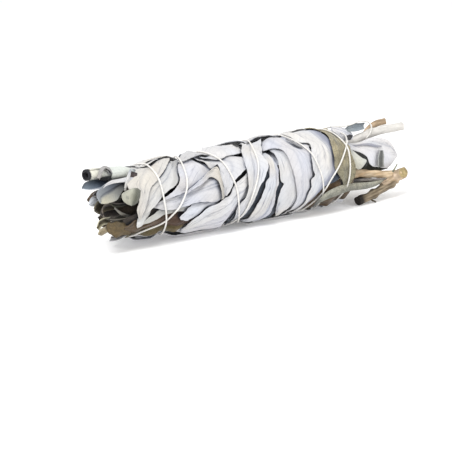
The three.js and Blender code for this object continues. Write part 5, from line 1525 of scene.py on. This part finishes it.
def bend_bar(bar, name, line, radii, bark, cut, ring=None, slant=0.0, lumps=0.08, knots=(), dark_end=0.0):
    """A copy of the bar bent along a line: its radius at even steps, two bark colours, the colour of its cut
    end, how obliquely it is cut, and its knots, each at a share of its length."""
    draw = seeded(name, 4001)
    inside = () if ring is None else (-STEM_REACH, STEM_REACH * 0.6, STEM_REACH)
    path = smooth_line([ring_point(ring, x) for x in inside] + line, PATH_POINTS)
    last = PATH_POINTS - 1
    mesh = bar.data.copy()
    flat = np.empty(len(mesh.vertices) * 3)
    mesh.vertices.foreach_get("co", flat)
    flat = flat.reshape(-1, 3)
    share = np.clip(flat[:, 2], 0, 1)
    length = np.linalg.norm(np.diff(path, axis=0), axis=1).sum()
    reach = share * length
    low = np.clip((share * last).astype(int), 0, last - 1)
    part = (share * last - low)[:, None]
    centre, ahead, up, beside = (grid[low] * (1 - part) + grid[low + 1] * part
                                 for grid in (path, *frames_along(path)))
    turn = np.arctan2(flat[:, 1], flat[:, 0])
    side = np.stack([np.cos(turn), np.sin(turn)]) * 0.002
    size = np.interp(share, np.linspace(0, 1, len(radii)), radii)
    size = size * (1 + lumps * ripple(reach + side[0] * 2, side[1] * 3, 0.004, draw))
    for knot in knots:
        size = size * (1 + KNOT_SWELL * np.exp(-((share - knot) * length / KNOT_WIDTH) ** 2))
    across = (up * flat[:, :1] + beside * flat[:, 1:2]) * size[:, None]
    lean = slant * (across @ TO_EYE) * np.clip((share - 0.4) / 0.6, 0, 1)
    place = centre + across - ahead * lean[:, None]
    mesh.vertices.foreach_set("co", place.reshape(-1))
    streak = np.clip(0.5 + 0.5 * ripple(reach * 0.25, side[0] + side[1] * 2, 0.0012, draw), 0, 1)
    tint = blend_colours(np.array(bark[0]) * np.ones(place.shape), bark[1], streak)
    tint[(np.hypot(flat[:, 0], flat[:, 1]) < 0.9) & (share > 0.5)] = cut
    # darker towards the end of the bar, by dark_end
    tint_corners(mesh, blend_colours(tint, NEAR_BLACK, dark_end * np.clip((share - 0.86) / 0.08, 0, 1)), 1)
    return linked(name, mesh)


def make_stems():
    """The stems, bent to their places and cut at the end."""
    woods = {name: wood_material(name, contrast)
             for name, contrast in (("pale_stem", 0.14), ("tan_stem", 0.35), ("brown_stem", 0.4))}
    bar = bar_template()
    for node, (wood, bars) in STEMS.items():
        stem = joined([bend_bar(bar, f"{node}_{i}", **look) for i, look in enumerate(bars)], node + "_wood")
        dress(stem, woods[wood], 40)
        finish_piece(stem, wood, node)
    bpy.data.objects.remove(bar)


def make_leaf_pieces():
    """The pieces that the leaves' sheets are joined into."""
    white = leaf_material("white_sage_leaf", 0.05, 0.06)
    brown = leaf_material("brown_dry_leaf", 0.3, 0.35)
    khaki = leaf_material("khaki_dry_leaf", 0.35, 0.42)
    looks = {f"sprig_{number}_leaves": (white, "white_leaf") for number in range(1, SPRIG_COUNT + 1)}
    looks["khaki_leaf"] = (khaki, "khaki_leaf")
    looks["grey_green_leaf"] = (khaki, "grey_green_leaf")
    looks["centre_sprig_leaves"] = (brown, "heart_leaf")
    for number in (1, 2, 3):
        looks[f"brown_leaf_{number}"] = (brown, "brown_leaf")
    for name, (material, slot) in looks.items():
        finish_piece(join_sheets(name, material), slot, name)


def make_floor():
    """A plain pale floor, glowing just enough to come out white."""
    bpy.ops.mesh.primitive_plane_add(size=8)
    floor = bpy.context.object
    floor.name = "floor"
    material, _, shader = new_material("floor_white", 0.9)
    shader.inputs["Base Color"].default_value = (0.95, 0.95, 0.95, 1)
    shader.inputs["Emission Color"].default_value = (1, 1, 1, 1)
    shader.inputs["Emission Strength"].default_value = FLOOR_GLOW
    floor.data.materials.append(material)


def make_light_and_camera():
    """Soft light from the upper left and from the front, and the photograph's angle."""
    world = bpy.data.worlds.new("studio")
    world.use_nodes = True
    world.node_tree.nodes["Background"].inputs["Color"].default_value = (1, 1, 1, 1)
    world.node_tree.nodes["Background"].inputs["Strength"].default_value = SKY
    bpy.context.scene.world = world
    for name, place, size, power in LAMPS:
        light = bpy.data.lights.new(name, "AREA")
        light.size = size
        light.energy = power
        lamp = linked(name, light)
        lamp.location = place
        lamp.rotation_euler = (Vector((0, 0, 0.02)) - Vector(place)).to_track_quat("-Z", "Y").to_euler()
    camera = bpy.data.cameras.new("camera")
    camera.lens = LENS
    camera.sensor_width = 36
    eye = linked("camera", camera)
    eye.location = EYE
    eye.rotation_euler = Vector(LOOK).to_track_quat("-Z", "Y").to_euler()
    bpy.context.scene.camera = eye
    bpy.context.scene.view_settings.view_transform = "Standard"


lay_all_leaves()
for leaf_name, leaf in FREE_LEAVES.items():
    free_leaf(leaf_name, **leaf)
for leaf_name, leaf in ROLLED_LEAVES.items():
    rolled_leaf(leaf_name, **leaf)
heart_leaves()
for template in TEMPLATES.values():
    bpy.data.objects.remove(template[0])
make_leaf_pieces()
make_stems()
make_twine()
make_floor()
make_light_and_camera()
